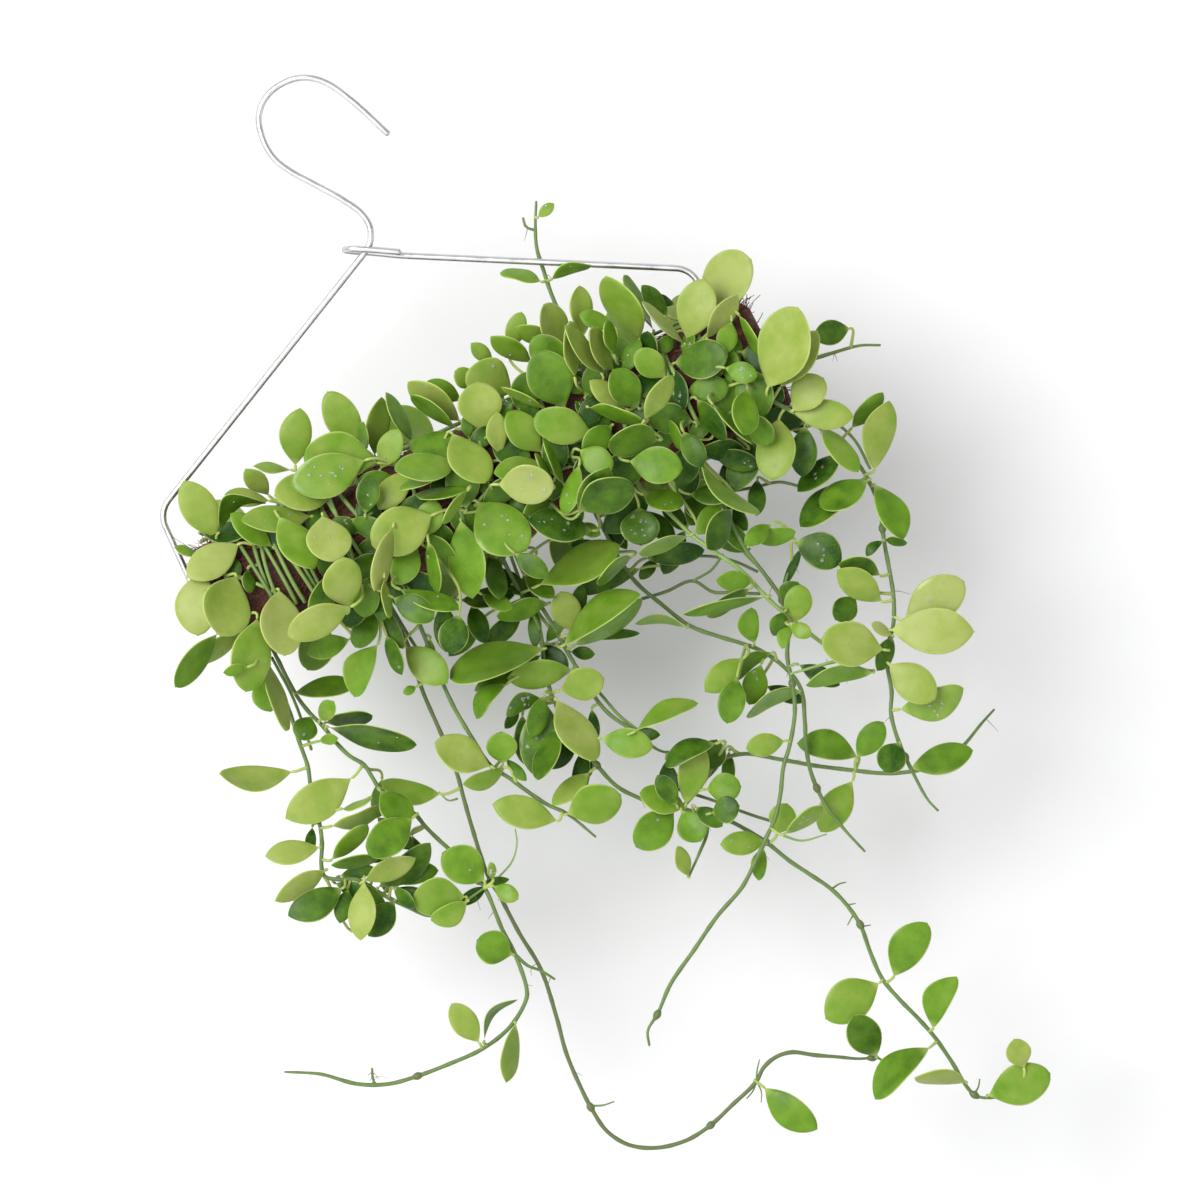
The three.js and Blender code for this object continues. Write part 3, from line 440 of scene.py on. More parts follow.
trial_route = spaced_points([(0, 0, 0), (20, 0, 0), (20, 0, -20)], 2)
print("a bend through 3 points, with 2 mm steps, has", len(trial_route), "points")

# %% [markdown]
# ## The hanger
#
# One length of galvanised wire makes the hook, both arms and the run through the log, and ends in a
# turn round its own neck. It could be traced in the photograph as one freehand curve, but a bent wire
# has straight runs and round corners of a known radius. So only the hook and the turn round the neck
# are smooth routes, and the corners are true arcs.

# %% Route of the wire
WIRE_RADIUS = 1.4
CORNER_X = 124.8
ARM_SLOPE = 0.515
NECK_Z = -79.5
NECK_DEPTH = 3.3
LOG_Z = -190
HOOK = [
    (31, 0, -37), (22.5, 0, -17), (15.5, 0, -5.5), (8, 0, 0), (0, 0, 1.4), (-9, 0, -0.6),
    (-15.6, 0, -6.5), (-18.4, 0, -16), (-17.6, 0, -26), (-13.5, 0, -34), (-6, 0, -44), (1.5, 0, -54),
    (6.6, 0, -63), (7.4, 0, -70), (4.6, 0, -76), (-0.5, 0, NECK_Z),
]
ARM_CORNER = 11
LOG_CORNER = 7


def arm_z(x):
    """Height of an arm, which slopes down from the neck on both sides"""
    return NECK_Z - ARM_SLOPE * (abs(x) - 1.5)


def corner_arc(before, corner, after, radius, steps):
    """The arc that rounds a corner between two straight runs"""
    before, corner, after = (np.asarray(p, float) for p in (before, corner, after))
    first, second = unit(before - corner), unit(after - corner)
    half = math.acos(np.clip(first @ second, -1, 1)) / 2
    start = corner + first * radius / math.tan(half)
    end = corner + second * radius / math.tan(half)
    centre = corner + unit(first + second) * radius / math.sin(half)
    sweep = math.pi - 2 * half
    shares = np.linspace(0, 1, steps + 1)[:, None]
    arms = (start - centre) * np.sin((1 - shares) * sweep) + (end - centre) * np.sin(shares * sweep)
    return centre + arms / math.sin(sweep)


def wire_route(fineness):
    """The wire's middle line, from the hook's end to the cut end behind the neck's turn"""
    high_left, high_right = (-CORNER_X, 0, arm_z(CORNER_X)), (CORNER_X, 0, arm_z(CORNER_X))
    low_left, low_right = (-CORNER_X, 0, LOG_Z), (CORNER_X, 0, LOG_Z)
    bearing = (14, NECK_DEPTH * 0.8, arm_z(14))
    wrap = [
        bearing, (3, NECK_DEPTH, NECK_Z), (-3.6, NECK_DEPTH * 0.8, NECK_Z + 3.6),
        (-6.2, 0, NECK_Z + 5.2), (-3.6, -NECK_DEPTH * 0.8, NECK_Z + 4.4),
        (2, -NECK_DEPTH, NECK_Z + 1.6), (14.6, -NECK_DEPTH, NECK_Z - 5.4),
    ]
    return np.vstack([
        spaced_points(HOOK, 7 / fineness),
        corner_arc(HOOK[-1], high_left, low_left, ARM_CORNER, 5 * fineness),
        corner_arc(high_left, low_left, low_right, LOG_CORNER, 4 * fineness),
        corner_arc(low_left, low_right, high_right, LOG_CORNER, 4 * fineness),
        corner_arc(low_right, high_right, bearing, ARM_CORNER, 5 * fineness),
        spaced_points(wrap, 4 / fineness),
    ])


wire_rough = wire_route(1)
print("the wire is", round(np.linalg.norm(np.diff(wire_rough, axis=0), axis=1).sum()), "mm long")

# %% [markdown]
# The wire is bare zinc on steel: light grey, softly shining, with faint patches where the zinc lies
# thicker and fine marks from drawing. A chrome finish would mirror the room too sharply. So the metal
# is half rough, its grey changes in clouds, and a dark specular tint gives the dark edges that round
# wire shows before a white wall.

# %% Wire and its finish
WIRE_AROUND = 20
WIRE_FINENESS = 6
WIRE_STEP = 6


def wire_material():
    recipe = Recipe("galvanised wire")
    dulling = recipe.noise(180, detail=4)
    recipe.feed(recipe.shader, "Metallic", 1.0)
    zinc = [(0.3, (0.66, 0.665, 0.68, 1)), (0.7, (0.8, 0.805, 0.82, 1))]
    recipe.feed(recipe.shader, "Base Color", recipe.ramp(dulling, zinc))
    recipe.feed(recipe.shader, "Roughness", recipe.ramp(dulling, [(0.35, 0.26), (0.7, 0.38)]))
    recipe.feed(recipe.shader, "Specular Tint", (0.35, 0.35, 0.37, 1))
    drawn = recipe.noise(1500, detail=2)
    recipe.feed(recipe.shader, "Normal", recipe.bump(drawn, 0.00004, 0.5))
    return recipe.material


def refined(route, longest):
    """Adds points on straight runs, so that no step is longer than longest"""
    made = [route[0]]
    for before, after in zip(route, route[1:]):
        parts = max(1, math.ceil(np.linalg.norm(after - before) / longest))
        made += [before + (after - before) * k / parts for k in range(1, parts + 1)]
    return np.array(made)


wire_heap = Heap()
wire_fine = refined(wire_route(WIRE_FINENESS), WIRE_STEP)
tube(wire_heap, wire_fine, np.full(len(wire_fine), WIRE_RADIUS), WIRE_AROUND, (0, 0, 0, 1), 0)
wire = wire_heap.make("wire_hanger", [wire_material()])
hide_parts("hanger_wire")
print("wire:", len(wire.data.polygons), "faces")

# %% [markdown]
# ## How the leaves lie
#
# The photograph shows where each leaf starts and ends and how wide it looks, but not how deep it
# lies. The rule that finds the depth is the one that the solid model uses: from the back to the
# front, each leaf is laid on what is already there. A grid of one millimetre cells holds how far
# forward the plant reaches so far. For a leaf, several leans and rolls that give the width seen are
# tried, and the one that needs the least shift outward is kept.

# %% Grid of what is already there
STEM_RADIUS = 1.1
LOG_RADIUS = 26
LOG_LEFT = -119
LOG_RIGHT = 140
DRAPE_REACH = 29.2
LEAF_THICKNESS = 1.7
GRID_LEFT, GRID_RIGHT, GRID_LOW, GRID_HIGH = -210, 210, -550, -60
FAR_OFF = 1e6


class Cover:
    """How far outward the plant reaches so far, on one side of it: -1 is the front, 1 the back"""

    def __init__(self, side):
        self.side = side
        self.near = np.full((GRID_HIGH - GRID_LOW + 2, GRID_RIGHT - GRID_LEFT + 2), -FAR_OFF)

    def cells(self, x, z):
        return np.floor(z - GRID_LOW).astype(int) + 1, np.floor(x - GRID_LEFT).astype(int) + 1

    def stamp(self, x, z, outward):
        """Each point counts in its own cell and the eight round it, so that nearness is one look-up"""
        inside = z < GRID_HIGH
        row, column = self.cells(x[inside], z[inside])
        outward = outward[inside]
        for i in (-1, 0, 1):
            for j in (-1, 0, 1):
                np.maximum.at(self.near, (row + i, column + j), outward)

    def reach_at(self, x, z):
        return self.near[self.cells(x, z)]

    def stamp_route(self, route):
        for before, after in zip(route, route[1:]):
            steps = math.ceil(np.linalg.norm(after - before) / 1.2)
            line = before + (after - before) * (np.arange(steps + 1) / steps)[:, None]
            self.stamp(line[:, 0], line[:, 2], line[:, 1] * self.side + STEM_RADIUS)

    def stamp_log(self, reach=DRAPE_REACH + STEM_RADIUS):
        x, rise = np.meshgrid(np.arange(LOG_LEFT, LOG_RIGHT + 1), np.arange(-LOG_RADIUS, LOG_RADIUS + 1))
        outward = np.sqrt(reach ** 2 - rise ** 2)
        self.stamp(x.ravel(), LOG_Z + rise.ravel(), outward.ravel())


front, behind = Cover(-1), Cover(1)
for cover in (front, behind):
    cover.stamp_route(wire_rough)
    cover.stamp_log()
print("cells that the wire and the log fill:", int((front.near > -FAR_OFF).sum()))

# %% [markdown]
# A leaf is a blade of a known outline: narrow at the stalk, widest a little past the middle, blunt at
# the tip. It has a place and three directions: along it, across it, and out of its outer face. Each
# leaf is one row of numbers in millimetres: the x and z of its base, the x and z of its tip, the
# width seen, and for some a lean and an arch.

# %% One leaf in space
LEAF_LEAN = 4
LEAF_BOW = 0.06


def blade_width(s):
    """Drawn in at the stalk, widest just past the middle, rounder at the tip"""
    place = np.clip(s, 0, 1)
    return np.sin(np.pi * place ** 1.12) ** (0.62 - 0.16 * place)


class Leaf:
    """A leaf's place and directions. The arch bends it sideways, the bow bends it outward."""

    def __init__(self, row, side, depth, lean, roll):
        bx, bz, tx, tz, width = row[:5]
        arch = row[6] if len(row) > 6 else 0
        self.base = np.array([bx, depth, bz], float)
        way = np.array([tx - bx, side * lean, tz - bz], float)
        self.length = np.linalg.norm(way)
        self.along = way / self.length
        out = np.array([0.0, side, 0.0])
        face_out = unit(out - self.along * (out @ self.along))
        self.across = np.cross(face_out, self.along) * math.cos(roll) + face_out * math.sin(roll)
        self.normal = np.cross(self.along, self.across)
        self.bend = unit(np.array([bz - tz, 0.0, tx - bx])) * arch + out * LEAF_BOW * self.length
        self.width = width / math.cos(roll)

    def centre_line(self, s):
        bulge = np.sin(np.pi * s)[..., None]
        straight = self.base + self.along * (self.length * s)[..., None]
        return straight + self.bend * bulge

    def samples(self, spacing):
        lines = math.ceil(self.length / spacing)
        rows = math.ceil(self.width / (2 * spacing))
        s, t = np.meshgrid(np.arange(lines + 1) / lines, np.arange(-rows, rows + 1) / rows)
        s, t = s.ravel(), t.ravel()
        return self.centre_line(s) + self.across * ((self.width / 2) * blade_width(s) * t)[:, None]


along_blade = np.linspace(0, 1, 101)
print("a blade is widest at", along_blade[blade_width(along_blade).argmax()], "of its length")

# %% [markdown]
# On the real plant a leaf turns until it finds room on its neighbours. A cloth or a rigid simulation
# could settle the leaves, but it would also move them away from where the photograph shows them. So
# every leaf keeps its base, its tip and its seen width. Only its lean, its roll and its depth are
# searched, and a leaf that turns away from the viewer is made wider, so that it looks as wide.

# %% Lay a leaf on the others
LEAF_CLEARANCE = 0.3
FOLIAGE_REACH = 58
SLIMMEST_LEAF = 0.5
BROADEST_LEAF = 0.85
SMALL_ROLL = 0.3
STEEP_ROLL = 1.1
LEAN_CHANGES = (0, -3, 3, -6, 6, 9, -9)
ROLLS = (0.25, -0.25, 0, 0.5, -0.5, 0.75, -0.75, 1, -1, 1.2, -1.2)
LEAN_COST = 0.22
ROLL_COST = 0.8


def suits(aspect, seen_aspect, roll):
    """Whether a leaf of this kind could be so slim or so broad"""
    fits = SLIMMEST_LEAF <= aspect <= BROADEST_LEAF
    plain = abs(roll) < SMALL_ROLL and seen_aspect > BROADEST_LEAF
    steep = abs(roll) > STEEP_ROLL and aspect < SLIMMEST_LEAF
    return fits or plain or steep


def lay_leaf(cover, row, depth):
    wanted = row[5] if len(row) > 5 else LEAF_LEAN
    flat = math.hypot(row[2] - row[0], row[3] - row[1])
    best, least, best_shift = None, math.inf, 0
    for change in LEAN_CHANGES:
        length = math.hypot(flat, wanted + change)
        for roll in ROLLS:
            if not suits(row[4] / math.cos(roll) / length, row[4] / length, roll):
                continue
            leaf = Leaf(row, cover.side, depth, wanted + change, roll)
            p = leaf.samples(2)
            gap = cover.reach_at(p[:, 0], p[:, 2]) + LEAF_CLEARANCE - p[:, 1] * cover.side
            shift = max(0, gap.max())
            score = shift + LEAN_COST * abs(change) + ROLL_COST * abs(roll)
            if score < least:
                best, least, best_shift = leaf, score, shift
    outermost = (best.samples(4)[:, 1] * cover.side).max()
    best.base[1] += min(best_shift, max(0, FOLIAGE_REACH - outermost)) * cover.side
    p = best.samples(0.9)
    cover.stamp(p[:, 0], p[:, 2], p[:, 1] * cover.side + LEAF_THICKNESS)
    return best


print(len(LEAN_CHANGES) * len(ROLLS), "ways to turn are tried for each leaf")

# %% [markdown]
# Every leaf springs from a stem, by a short stalk. The stem could be named in each leaf's row, but the
# photograph doesn't always show it. The nearest stem is nearly always the right one, as long as the
# stalk doesn't have to run forward under its own leaf.

# %% Where a leaf springs from
AHEAD_COST = 3


def anchor_on(routes, leaf):
    """The place on the stems that a leaf springs from: the nearest one that isn't ahead of its base"""
    best, least = None, math.inf
    for route in routes:
        first, ways = route[:-1], np.diff(route, axis=0)
        share = np.clip(((leaf.base - first) * ways).sum(1) / (ways ** 2).sum(1), 0, 1)
        spots = first + ways * share[:, None]
        away = spots - leaf.base
        cost = np.linalg.norm(away, axis=1) + AHEAD_COST * np.maximum(0, away @ leaf.along)
        i = int(cost.argmin())
        if cost[i] < least:
            best, least = spots[i], cost[i]
    return best


trial_leaf = Leaf((4, -100, 30, -100, 16), -1, 0, 0, 0)
upright_stem = np.array([(0, 0, -120), (0, 0, -80)])
print("a leaf right of an upright stem springs from", anchor_on([upright_stem], trial_leaf))

# %% [markdown]
# Now the blade itself. It could be a flat card with a picture of a leaf on it, but these leaves are
# as thick as a coin, and their rims catch the light. So each one is a closed string of sections. A
# section is a lens: domed on the outer face, nearly flat behind, with a rounded rim. Small seeded
# changes of cup, fold, twist, ripple and outline keep any two leaves from being alike. Cup and fold
# would also push the rims aside in the picture, so that push is taken off again.

# %% Blade of a leaf
BLADE_STATIONS = 19
BLADE_AROUND = 18
BLADE_START = 0.055
BLADE_END = 0.965
OUTER_DOME = 0.82
INNER_DOME = 0.3
DOME_POWER = 0.8
FULL_THICK_HALF = 3
GROOVE_DEPTH = 0.22
GROOVE_WIDTH = 0.12
RIPPLES = 9
SLIM_LEAF = 0.6

draw = np.random.default_rng(2024)
blade_turns = np.linspace(0, 2 * np.pi, BLADE_AROUND, endpoint=False)
sideways, lift = np.cos(blade_turns), np.sin(blade_turns)


def drawn_outline(leaf, s):
    """Half the blade's width at each station, slimmer at the base and the tip by a drawn amount"""
    slim_base = draw.uniform(0.1, 0.75)
    is_slim = leaf.width < SLIM_LEAF * leaf.length
    slim_tip = draw.uniform(0.1, 0.7) if is_slim else draw.uniform(-0.1, 0.3)
    return leaf.width / 2 * blade_width(s) ** (1 + slim_base * (1 - s) ** 2 + slim_tip * s ** 4)


def blade_rings(leaf):
    cup = leaf.cup = draw.uniform(-0.05, 0.16)
    fold = leaf.fold = draw.uniform(0.0, 0.10)
    twist = draw.uniform(-0.22, 0.22)
    ripple, phase = draw.uniform(0, 0.35), draw.uniform(0, 6)
    s = leaf.stations = (1 - np.cos(np.pi * np.linspace(BLADE_START, BLADE_END, BLADE_STATIONS))) / 2
    half = leaf.half = drawn_outline(leaf, s)
    centre = leaf.centre_line(s)
    angle = twist * (s - 0.5)
    across = leaf.across * np.cos(angle)[:, None] + leaf.normal * np.sin(angle)[:, None]
    normal = leaf.normal * np.cos(angle)[:, None] - leaf.across * np.sin(angle)[:, None]
    body = np.minimum(1, half / FULL_THICK_HALF)[:, None]
    dome = np.where(lift > 0, OUTER_DOME, INNER_DOME) * np.sign(lift) * np.abs(lift) ** DOME_POWER
    groove = -GROOVE_DEPTH * np.exp(-(sideways / GROOVE_WIDTH) ** 2) * (lift > 0)
    wave = ripple * np.sin(RIPPLES * s[:, None] + phase + 2 * sideways) * sideways ** 2
    curl = (cup * sideways ** 2 + fold * np.abs(sideways)) * half[:, None]
    height = (dome + groove) * body + curl + wave
    rings = centre[:, None] + across[:, None] * (half[:, None] * sideways)[..., None]
    rings = rings + normal[:, None] * height[..., None]
    rims = (rings[:, 0] + rings[:, BLADE_AROUND // 2]) / 2 - centre
    leaf.aside = rims * (1, 0, 1)
    return rings - leaf.aside[:, None]


print("a blade has", BLADE_STATIONS * BLADE_AROUND, "points on its sections")

# %% [markdown]
# The stalk is the start of the same string of sections, so that leaf and stalk are one closed shape. A
# stalk of its own, pushed into the blade, would show a seam on the large leaves. It leaves the stem
# towards the leaf's base and arrives there in the leaf's own direction, on a Bezier curve.

# %% Stalk, and the whole leaf
STALK_STATIONS = 5
STALK_STATION_EVERY = 5
STALK_RADIUS = 0.62
STALK_SWELL = 0.35
STALK_ROOT = 0.3
STALK_RIM = 0.3
TIP_CAP = 0.4
BEZIER_PULL = 0.4


def bend_between(start, leave, end, arrive, count):
    """Points on a curve that leaves start in one direction and arrives at end in another"""
    pull = np.linalg.norm(end - start) * BEZIER_PULL
    t = np.linspace(0, 1, count + 1)[:-1, None]
    first, second = start + leave * pull, end - arrive * pull
    near_start = (1 - t) ** 3 * start + 3 * (1 - t) ** 2 * t * first
    return near_start + 3 * (1 - t) * t ** 2 * second + t ** 3 * end


def stalk_rings(leaf, anchor):
    """The circles of the stalk, and the point inside the stem that closes it"""
    to_base = leaf.base - anchor
    distance = np.linalg.norm(to_base)
    leave = unit(to_base) if distance > 0.5 else leaf.along
    start = anchor - leave * STEM_RADIUS * STALK_ROOT
    stations = STALK_STATIONS + int(distance / STALK_STATION_EVERY)
    path = np.vstack([bend_between(start, leave, leaf.base, leaf.along, stations), leaf.base])
    sides, others, _ = frames_along(path[::-1], leaf.across)
    sides, others = sides[::-1], -others[::-1]
    radii = STALK_RADIUS * (1 + STALK_SWELL * np.linspace(1, 0, len(path)) ** 3)
    circle = sideways[None, :, None] * sides[:, None] + lift[None, :, None] * others[:, None]
    return path[:, None] + circle * radii[:, None, None], start - leave * 0.2


def add_leaf(heap, leaf, anchor, tone, look):
    blade = blade_rings(leaf)
    stalk, start = stalk_rings(leaf, anchor)
    every = np.vstack([stalk, blade])
    marks = np.empty((*every.shape[:2], 4))
    marks[..., 0] = tone
    marks[..., 1] = np.abs(sideways)
    marks[: len(stalk), :, 1] = STALK_RIM
    marks[..., 2] = np.concatenate([np.zeros(len(stalk)), leaf.stations])[:, None]
    marks[..., 3] = lift >= 0
    tip = leaf.centre_line(np.array([1.0]))[0] + leaf.along * TIP_CAP
    heap.add(every, start, tip, marks, look)


print("a leaf has at least", (BLADE_STATIONS + STALK_STATIONS + 1) * BLADE_AROUND + 2, "points")

# %% [markdown]
# ## What the leaves are made of
#
# A fresh leaf is waxy on the outside and lets a little light through. Its colour comes from three layers
# here. The tone of the whole leaf runs from dark to yellow green; its dark end is partly painted shade and
# its cream end a painted sheen. Soft clouds of noise vary it across the blade. A pale line follows the rim
# and a faint one the middle, which the marks place exactly; on the rim it is partly a paler margin and
# partly a painted highlight. The under side is greyer.

# %% Finish of the leaves
DARK_GREEN = colour(30, 66, 3)
MID_GREEN = colour(100, 140, 32)
PALE_GREEN = colour(137, 156, 68)
# The cream green is a painted sheen on the palest leaves.
CREAM_SHEEN_GREEN = colour(154, 166, 90)
# The pale line at stalk, middle and rim; on the rim it is partly a painted highlight.
PALE_LINE_AND_HIGHLIGHT_GREEN = colour(188, 200, 118)
UNDER_GREEN = colour(116, 140, 66)
TONE_CLOUDS = 0.7
UNDER_SHARE = 0.45
WAXY_COAT, WAXY_ROUGHNESS = 0.07, 0.36
WET_COAT, WET_ROUGHNESS = 0.45, 0.3
ROUGHNESS_SWING = 0.14


def blade_colour(recipe):
    tone, rim, along, outer = recipe.mark()
    clouded = recipe.stirred(tone, recipe.noise(110, detail=4), TONE_CLOUDS)
    greens = [(0.0, DARK_GREEN), (0.46, MID_GREEN), (0.8, PALE_GREEN), (1.0, CREAM_SHEEN_GREEN)]
    body = recipe.ramp(clouded, greens)
    under = recipe.maths("SUBTRACT", 1.0, outer)
    body = recipe.mix(recipe.maths("MULTIPLY", under, UNDER_SHARE), body, UNDER_GREEN)
    stalk = recipe.ramp(along, [(0.0, 0.55), (0.14, 0.0)])
    body = recipe.mix(stalk, body, PALE_LINE_AND_HIGHLIGHT_GREEN)
    middle = recipe.ramp(rim, [(0.0, 0.22), (0.09, 0.0)])
    body = recipe.mix(middle, body, PALE_LINE_AND_HIGHLIGHT_GREEN)
    # The rim line is partly a paler margin and partly a painted highlight on the thick edge.
    edge = recipe.ramp(rim, [(0.92, 0.0), (0.985, 0.8)])
    body = recipe.mix(edge, body, PALE_LINE_AND_HIGHLIGHT_GREEN)
    flecks = recipe.ramp(recipe.noise(900, detail=2), [(0.58, 0.0), (0.72, 0.16)])
    return recipe.mix(flecks, body, PALE_GREEN)


def leaf_material(name, coat, roughness):
    recipe = Recipe(name)
    recipe.feed(recipe.shader, "Base Color", blade_colour(recipe))
    wax = recipe.ramp(recipe.noise(160, detail=3), [(0.3, roughness), (0.7, roughness + ROUGHNESS_SWING)])
    recipe.feed(recipe.shader, "Roughness", wax)
    recipe.feed(recipe.shader, "Specular IOR Level", 0.18)
    recipe.feed(recipe.shader, "Subsurface Weight", 0.12)
    recipe.feed(recipe.shader, "Subsurface Radius", (0.5, 1.0, 0.2))
    recipe.feed(recipe.shader, "Subsurface Scale", 0.002)
    recipe.feed(recipe.shader, "Coat Weight", coat)
    recipe.feed(recipe.shader, "Coat Roughness", 0.18)
    fine = recipe.bump(recipe.noise(1100, detail=2), 0.00003, 0.6)
    broad = recipe.bump(recipe.noise(240, detail=2), 0.00022, 0.5, fine)
    recipe.feed(recipe.shader, "Normal", broad)
    return recipe.material


leaf_look = leaf_material("waxy leaf", WAXY_COAT, WAXY_ROUGHNESS)
wet_look = leaf_material("wet leaf", WET_COAT, WET_ROUGHNESS)
print("leaf finishes:", leaf_look.name, "and", wet_look.name)

# %% [markdown]
# A stem is green where it is young, and goes grey and brown with age. One even green would make it a
# plastic string. The mark's first number is its youth here, and a noise that is stretched along the
# stem breaks the colour up.

# %% Finish of the stems
OLD_BARK = colour(96, 84, 62)
GREEN_BARK = colour(88, 112, 54)
YOUNG_BARK = colour(136, 168, 84)
BARK_SWING = 0.5


def stem_material():
    recipe = Recipe("green stem")
    youth = recipe.mark()[0]
    bark = recipe.noise(420, detail=4, stretch=(1, 1, 0.35))
    patchy = recipe.stirred(youth, bark, BARK_SWING)
    shade = recipe.ramp(patchy, [(0.0, OLD_BARK), (0.4, GREEN_BARK), (1.0, YOUNG_BARK)])
    recipe.feed(recipe.shader, "Base Color", shade)
    recipe.feed(recipe.shader, "Roughness", recipe.ramp(bark, [(0.3, 0.42), (0.7, 0.6)]))
    recipe.feed(recipe.shader, "Normal", recipe.bump(bark, 0.0002, 0.6))
    return recipe.material


LEAF_LOOK, STEM_LOOK, WET_LOOK = range(3)
LOOKS = [leaf_look, stem_material(), wet_look]
print("finishes on every spray:", ", ".join(material.name for material in LOOKS))

# %% [markdown]
# Some leaves are young and yellow green, and their pale tone is partly painted light. A few are almost
# cream, which is a painted sheen on pale leaves. Some are old and dark, and their dark tone is partly
# painted shade. They are named by the place of their base, as read off the photograph. All others get a
# mid green with a seeded change. Leaves that still carry a film of water are listed too.

# %% Tones of single leaves
# Pale leaves: partly the young leaves' own colour, partly painted light.
PALE_AND_LIT_LEAVES = np.array([
    (-66, -214), (-105, -165), (-105, -182), (-113, -205), (-52, -165), (-20, -172), (-19, -193),
    (15, -169), (33, -158), (3, -165), (8, -161), (18, -182), (62, -152), (71, -150), (60, -165),
    (71, -168), (76, -169), (74, -186), (79, -194), (110, -170), (137, -205), (132, -203), (131, -217),
    (138, -217), (160, -253), (131, -324), (140, -305), (131, -331), (-119, -267), (-97, -280),
    (-122, -301), (-123, -310), (-110, -322), (-41, -300), (-25, -333), (-4, -320), (-1, -283),
    (-4, -286), (14, -262), (16, -378), (-60, -344), (-94.5, -405), (112, -511), (87, -507),
    (-108, -222), (-79, -156),
])
# Dark leaves: partly the old leaves' own colour, partly painted shade.
DARK_AND_SHADED_LEAVES = np.array([
    (-104, -162), (40, -227), (38, -218), (62, -226), (-3, -218), (-48, -218), (-26, -236), (-58, -220),
    (101, -177), (103, -195), (92, -205), (-118, -322), (-106, -327), (-102, -335), (-102, -249),
    (-97, -254), (-10, -285), (-8, -282), (42, -341), (36, -357), (117, -267), (101, -290), (175, -194),
    (121, -363), (130, -299), (57, -481), (151, -255), (143, -295), (137, -321), (140, -224),
    (150, -241), (150, -282), (100, -292), (18, -258), (6, -232), (-24, -230), (-100, -330),
    (-58, -231), (6, -222), (98, -243), (100, -219), (84, -230), (-8, -296), (24, -348), (50, -331),
    (31, -352), (107, -157), (112, -154),
])
WET_LEAVES = np.array([
    (12, -193), (62, -226), (-35, -160), (145, -316), (-10, -285), (1, -196), (127, -350), (40, -227),
])
# Cream leaves: pale leaves with a painted sheen.
CREAM_SHEEN_LEAVES = np.array([
    (-61, -174), (12, -193), (145, -316), (121, -157), (-99, -170), (-118, -174), (118, -173), (-36, -191),
    (-91, -195), (137, -318),
])
CREAM_SHEEN_TONE = 0.97
PALE_AND_LIT_TONE = 0.8
MID_TONE = 0.46
DARK_AND_SHADED_TONE = 0.14
SAME_LEAF = 2.5


def is_among(places, leaf):
    """Whether one of the listed places is the base of this leaf"""
    return np.hypot(*(places - (leaf.base[0], leaf.base[2])).T).min() < SAME_LEAF


def tone_of(leaf):
    """From 0, the darkest and partly painted shade, to 1, the palest and partly painted light. The few
    cream leaves all get the same tone, a painted sheen.
    """
    if is_among(CREAM_SHEEN_LEAVES, leaf):
        return CREAM_SHEEN_TONE
    if is_among(PALE_AND_LIT_LEAVES, leaf):
        return PALE_AND_LIT_TONE + draw.uniform(-0.08, 0.08)
    if is_among(DARK_AND_SHADED_LEAVES, leaf):
        return DARK_AND_SHADED_TONE + draw.uniform(-0.06, 0.08)
    return MID_TONE + draw.uniform(-0.16, 0.18)


print(len(CREAM_SHEEN_LEAVES), "cream,", len(PALE_AND_LIT_LEAVES), "pale and", len(DARK_AND_SHADED_LEAVES), "dark leaves are named")

# %% [markdown]
# ## Sprays
#
# A spray is a few stems with their leaves. Its stems were traced point by point in the photograph,
# because every bend is that plant's own: a rule would give another plant. `rooted_route` makes a stem
# that stands in a hole in the log, and eases from its root's depth to its own. `branch` makes one that
# leaves another stem. Each returns the coarse route that the leaves are laid by, and a fine one for
# the mesh.

# %% Stems of a spray
ROUTE_STEP = 13
FINE_STEP = 1.8
SETTLE_LENGTH = 45
BRANCH_SETTLE = 40
LEAF_STAND_OFF = 1.5


def settled(from_depth, to_depth, points, settle):
    """Gives the traced points their depth, which eases from one value to another"""
    points = np.asarray(points, float)
    run = np.concatenate([[0], np.cumsum(np.linalg.norm(np.diff(points, axis=0), axis=1))])
    share = np.clip(run / settle, 0, 1)
    ease = share * share * (3 - 2 * share)
    return np.column_stack([points[:, 0], from_depth + (to_depth - from_depth) * ease, points[:, 1]])


def rooted_route(root_depth, depth, points, lift=(0, 0, 9)):
    path = settled(root_depth, depth, points, SETTLE_LENGTH)
    inside = path[0] + np.array(lift, float)
    coarse, fine = spaced_points(path, ROUTE_STEP), spaced_points(path, FINE_STEP)
    return np.vstack([inside, coarse]), np.vstack([inside, fine])


def branch(from_depth, to_depth, points):
    settle = min(BRANCH_SETTLE, math.dist(points[0], points[-1]))
    path = settled(from_depth, to_depth, points, settle)
    return spaced_points(path, ROUTE_STEP), spaced_points(path, FINE_STEP)


def beside_stem(row, routes):
    """A leaf starts a little in front of the stem point that its base is nearest to"""
    stations = np.vstack(routes)
    nearest = np.hypot(stations[:, 0] - row[0], stations[:, 2] - row[1]).argmin()
    return stations[nearest, 1] - LEAF_STAND_OFF


trial_coarse, trial_fine = rooted_route(0, 0, [(0, -219), (2, -250), (0, -280)])
print("a stem 61 mm long has", len(trial_coarse), "coarse points and", len(trial_fine), "fine ones")

# %% [markdown]
# Now one call makes a whole spray. It could be an object for each leaf, joined at the end, but a few
# hundred objects are slow. `add_spray` stamps the stems, lays the leaves in the order of their rows,
# and makes one mesh that takes the place of the solid spray. It also notes what later cells need: the
# stems, the leaves seen from the front, and the wet ones. A stem thins towards its tip and swells a
# little at its joints.

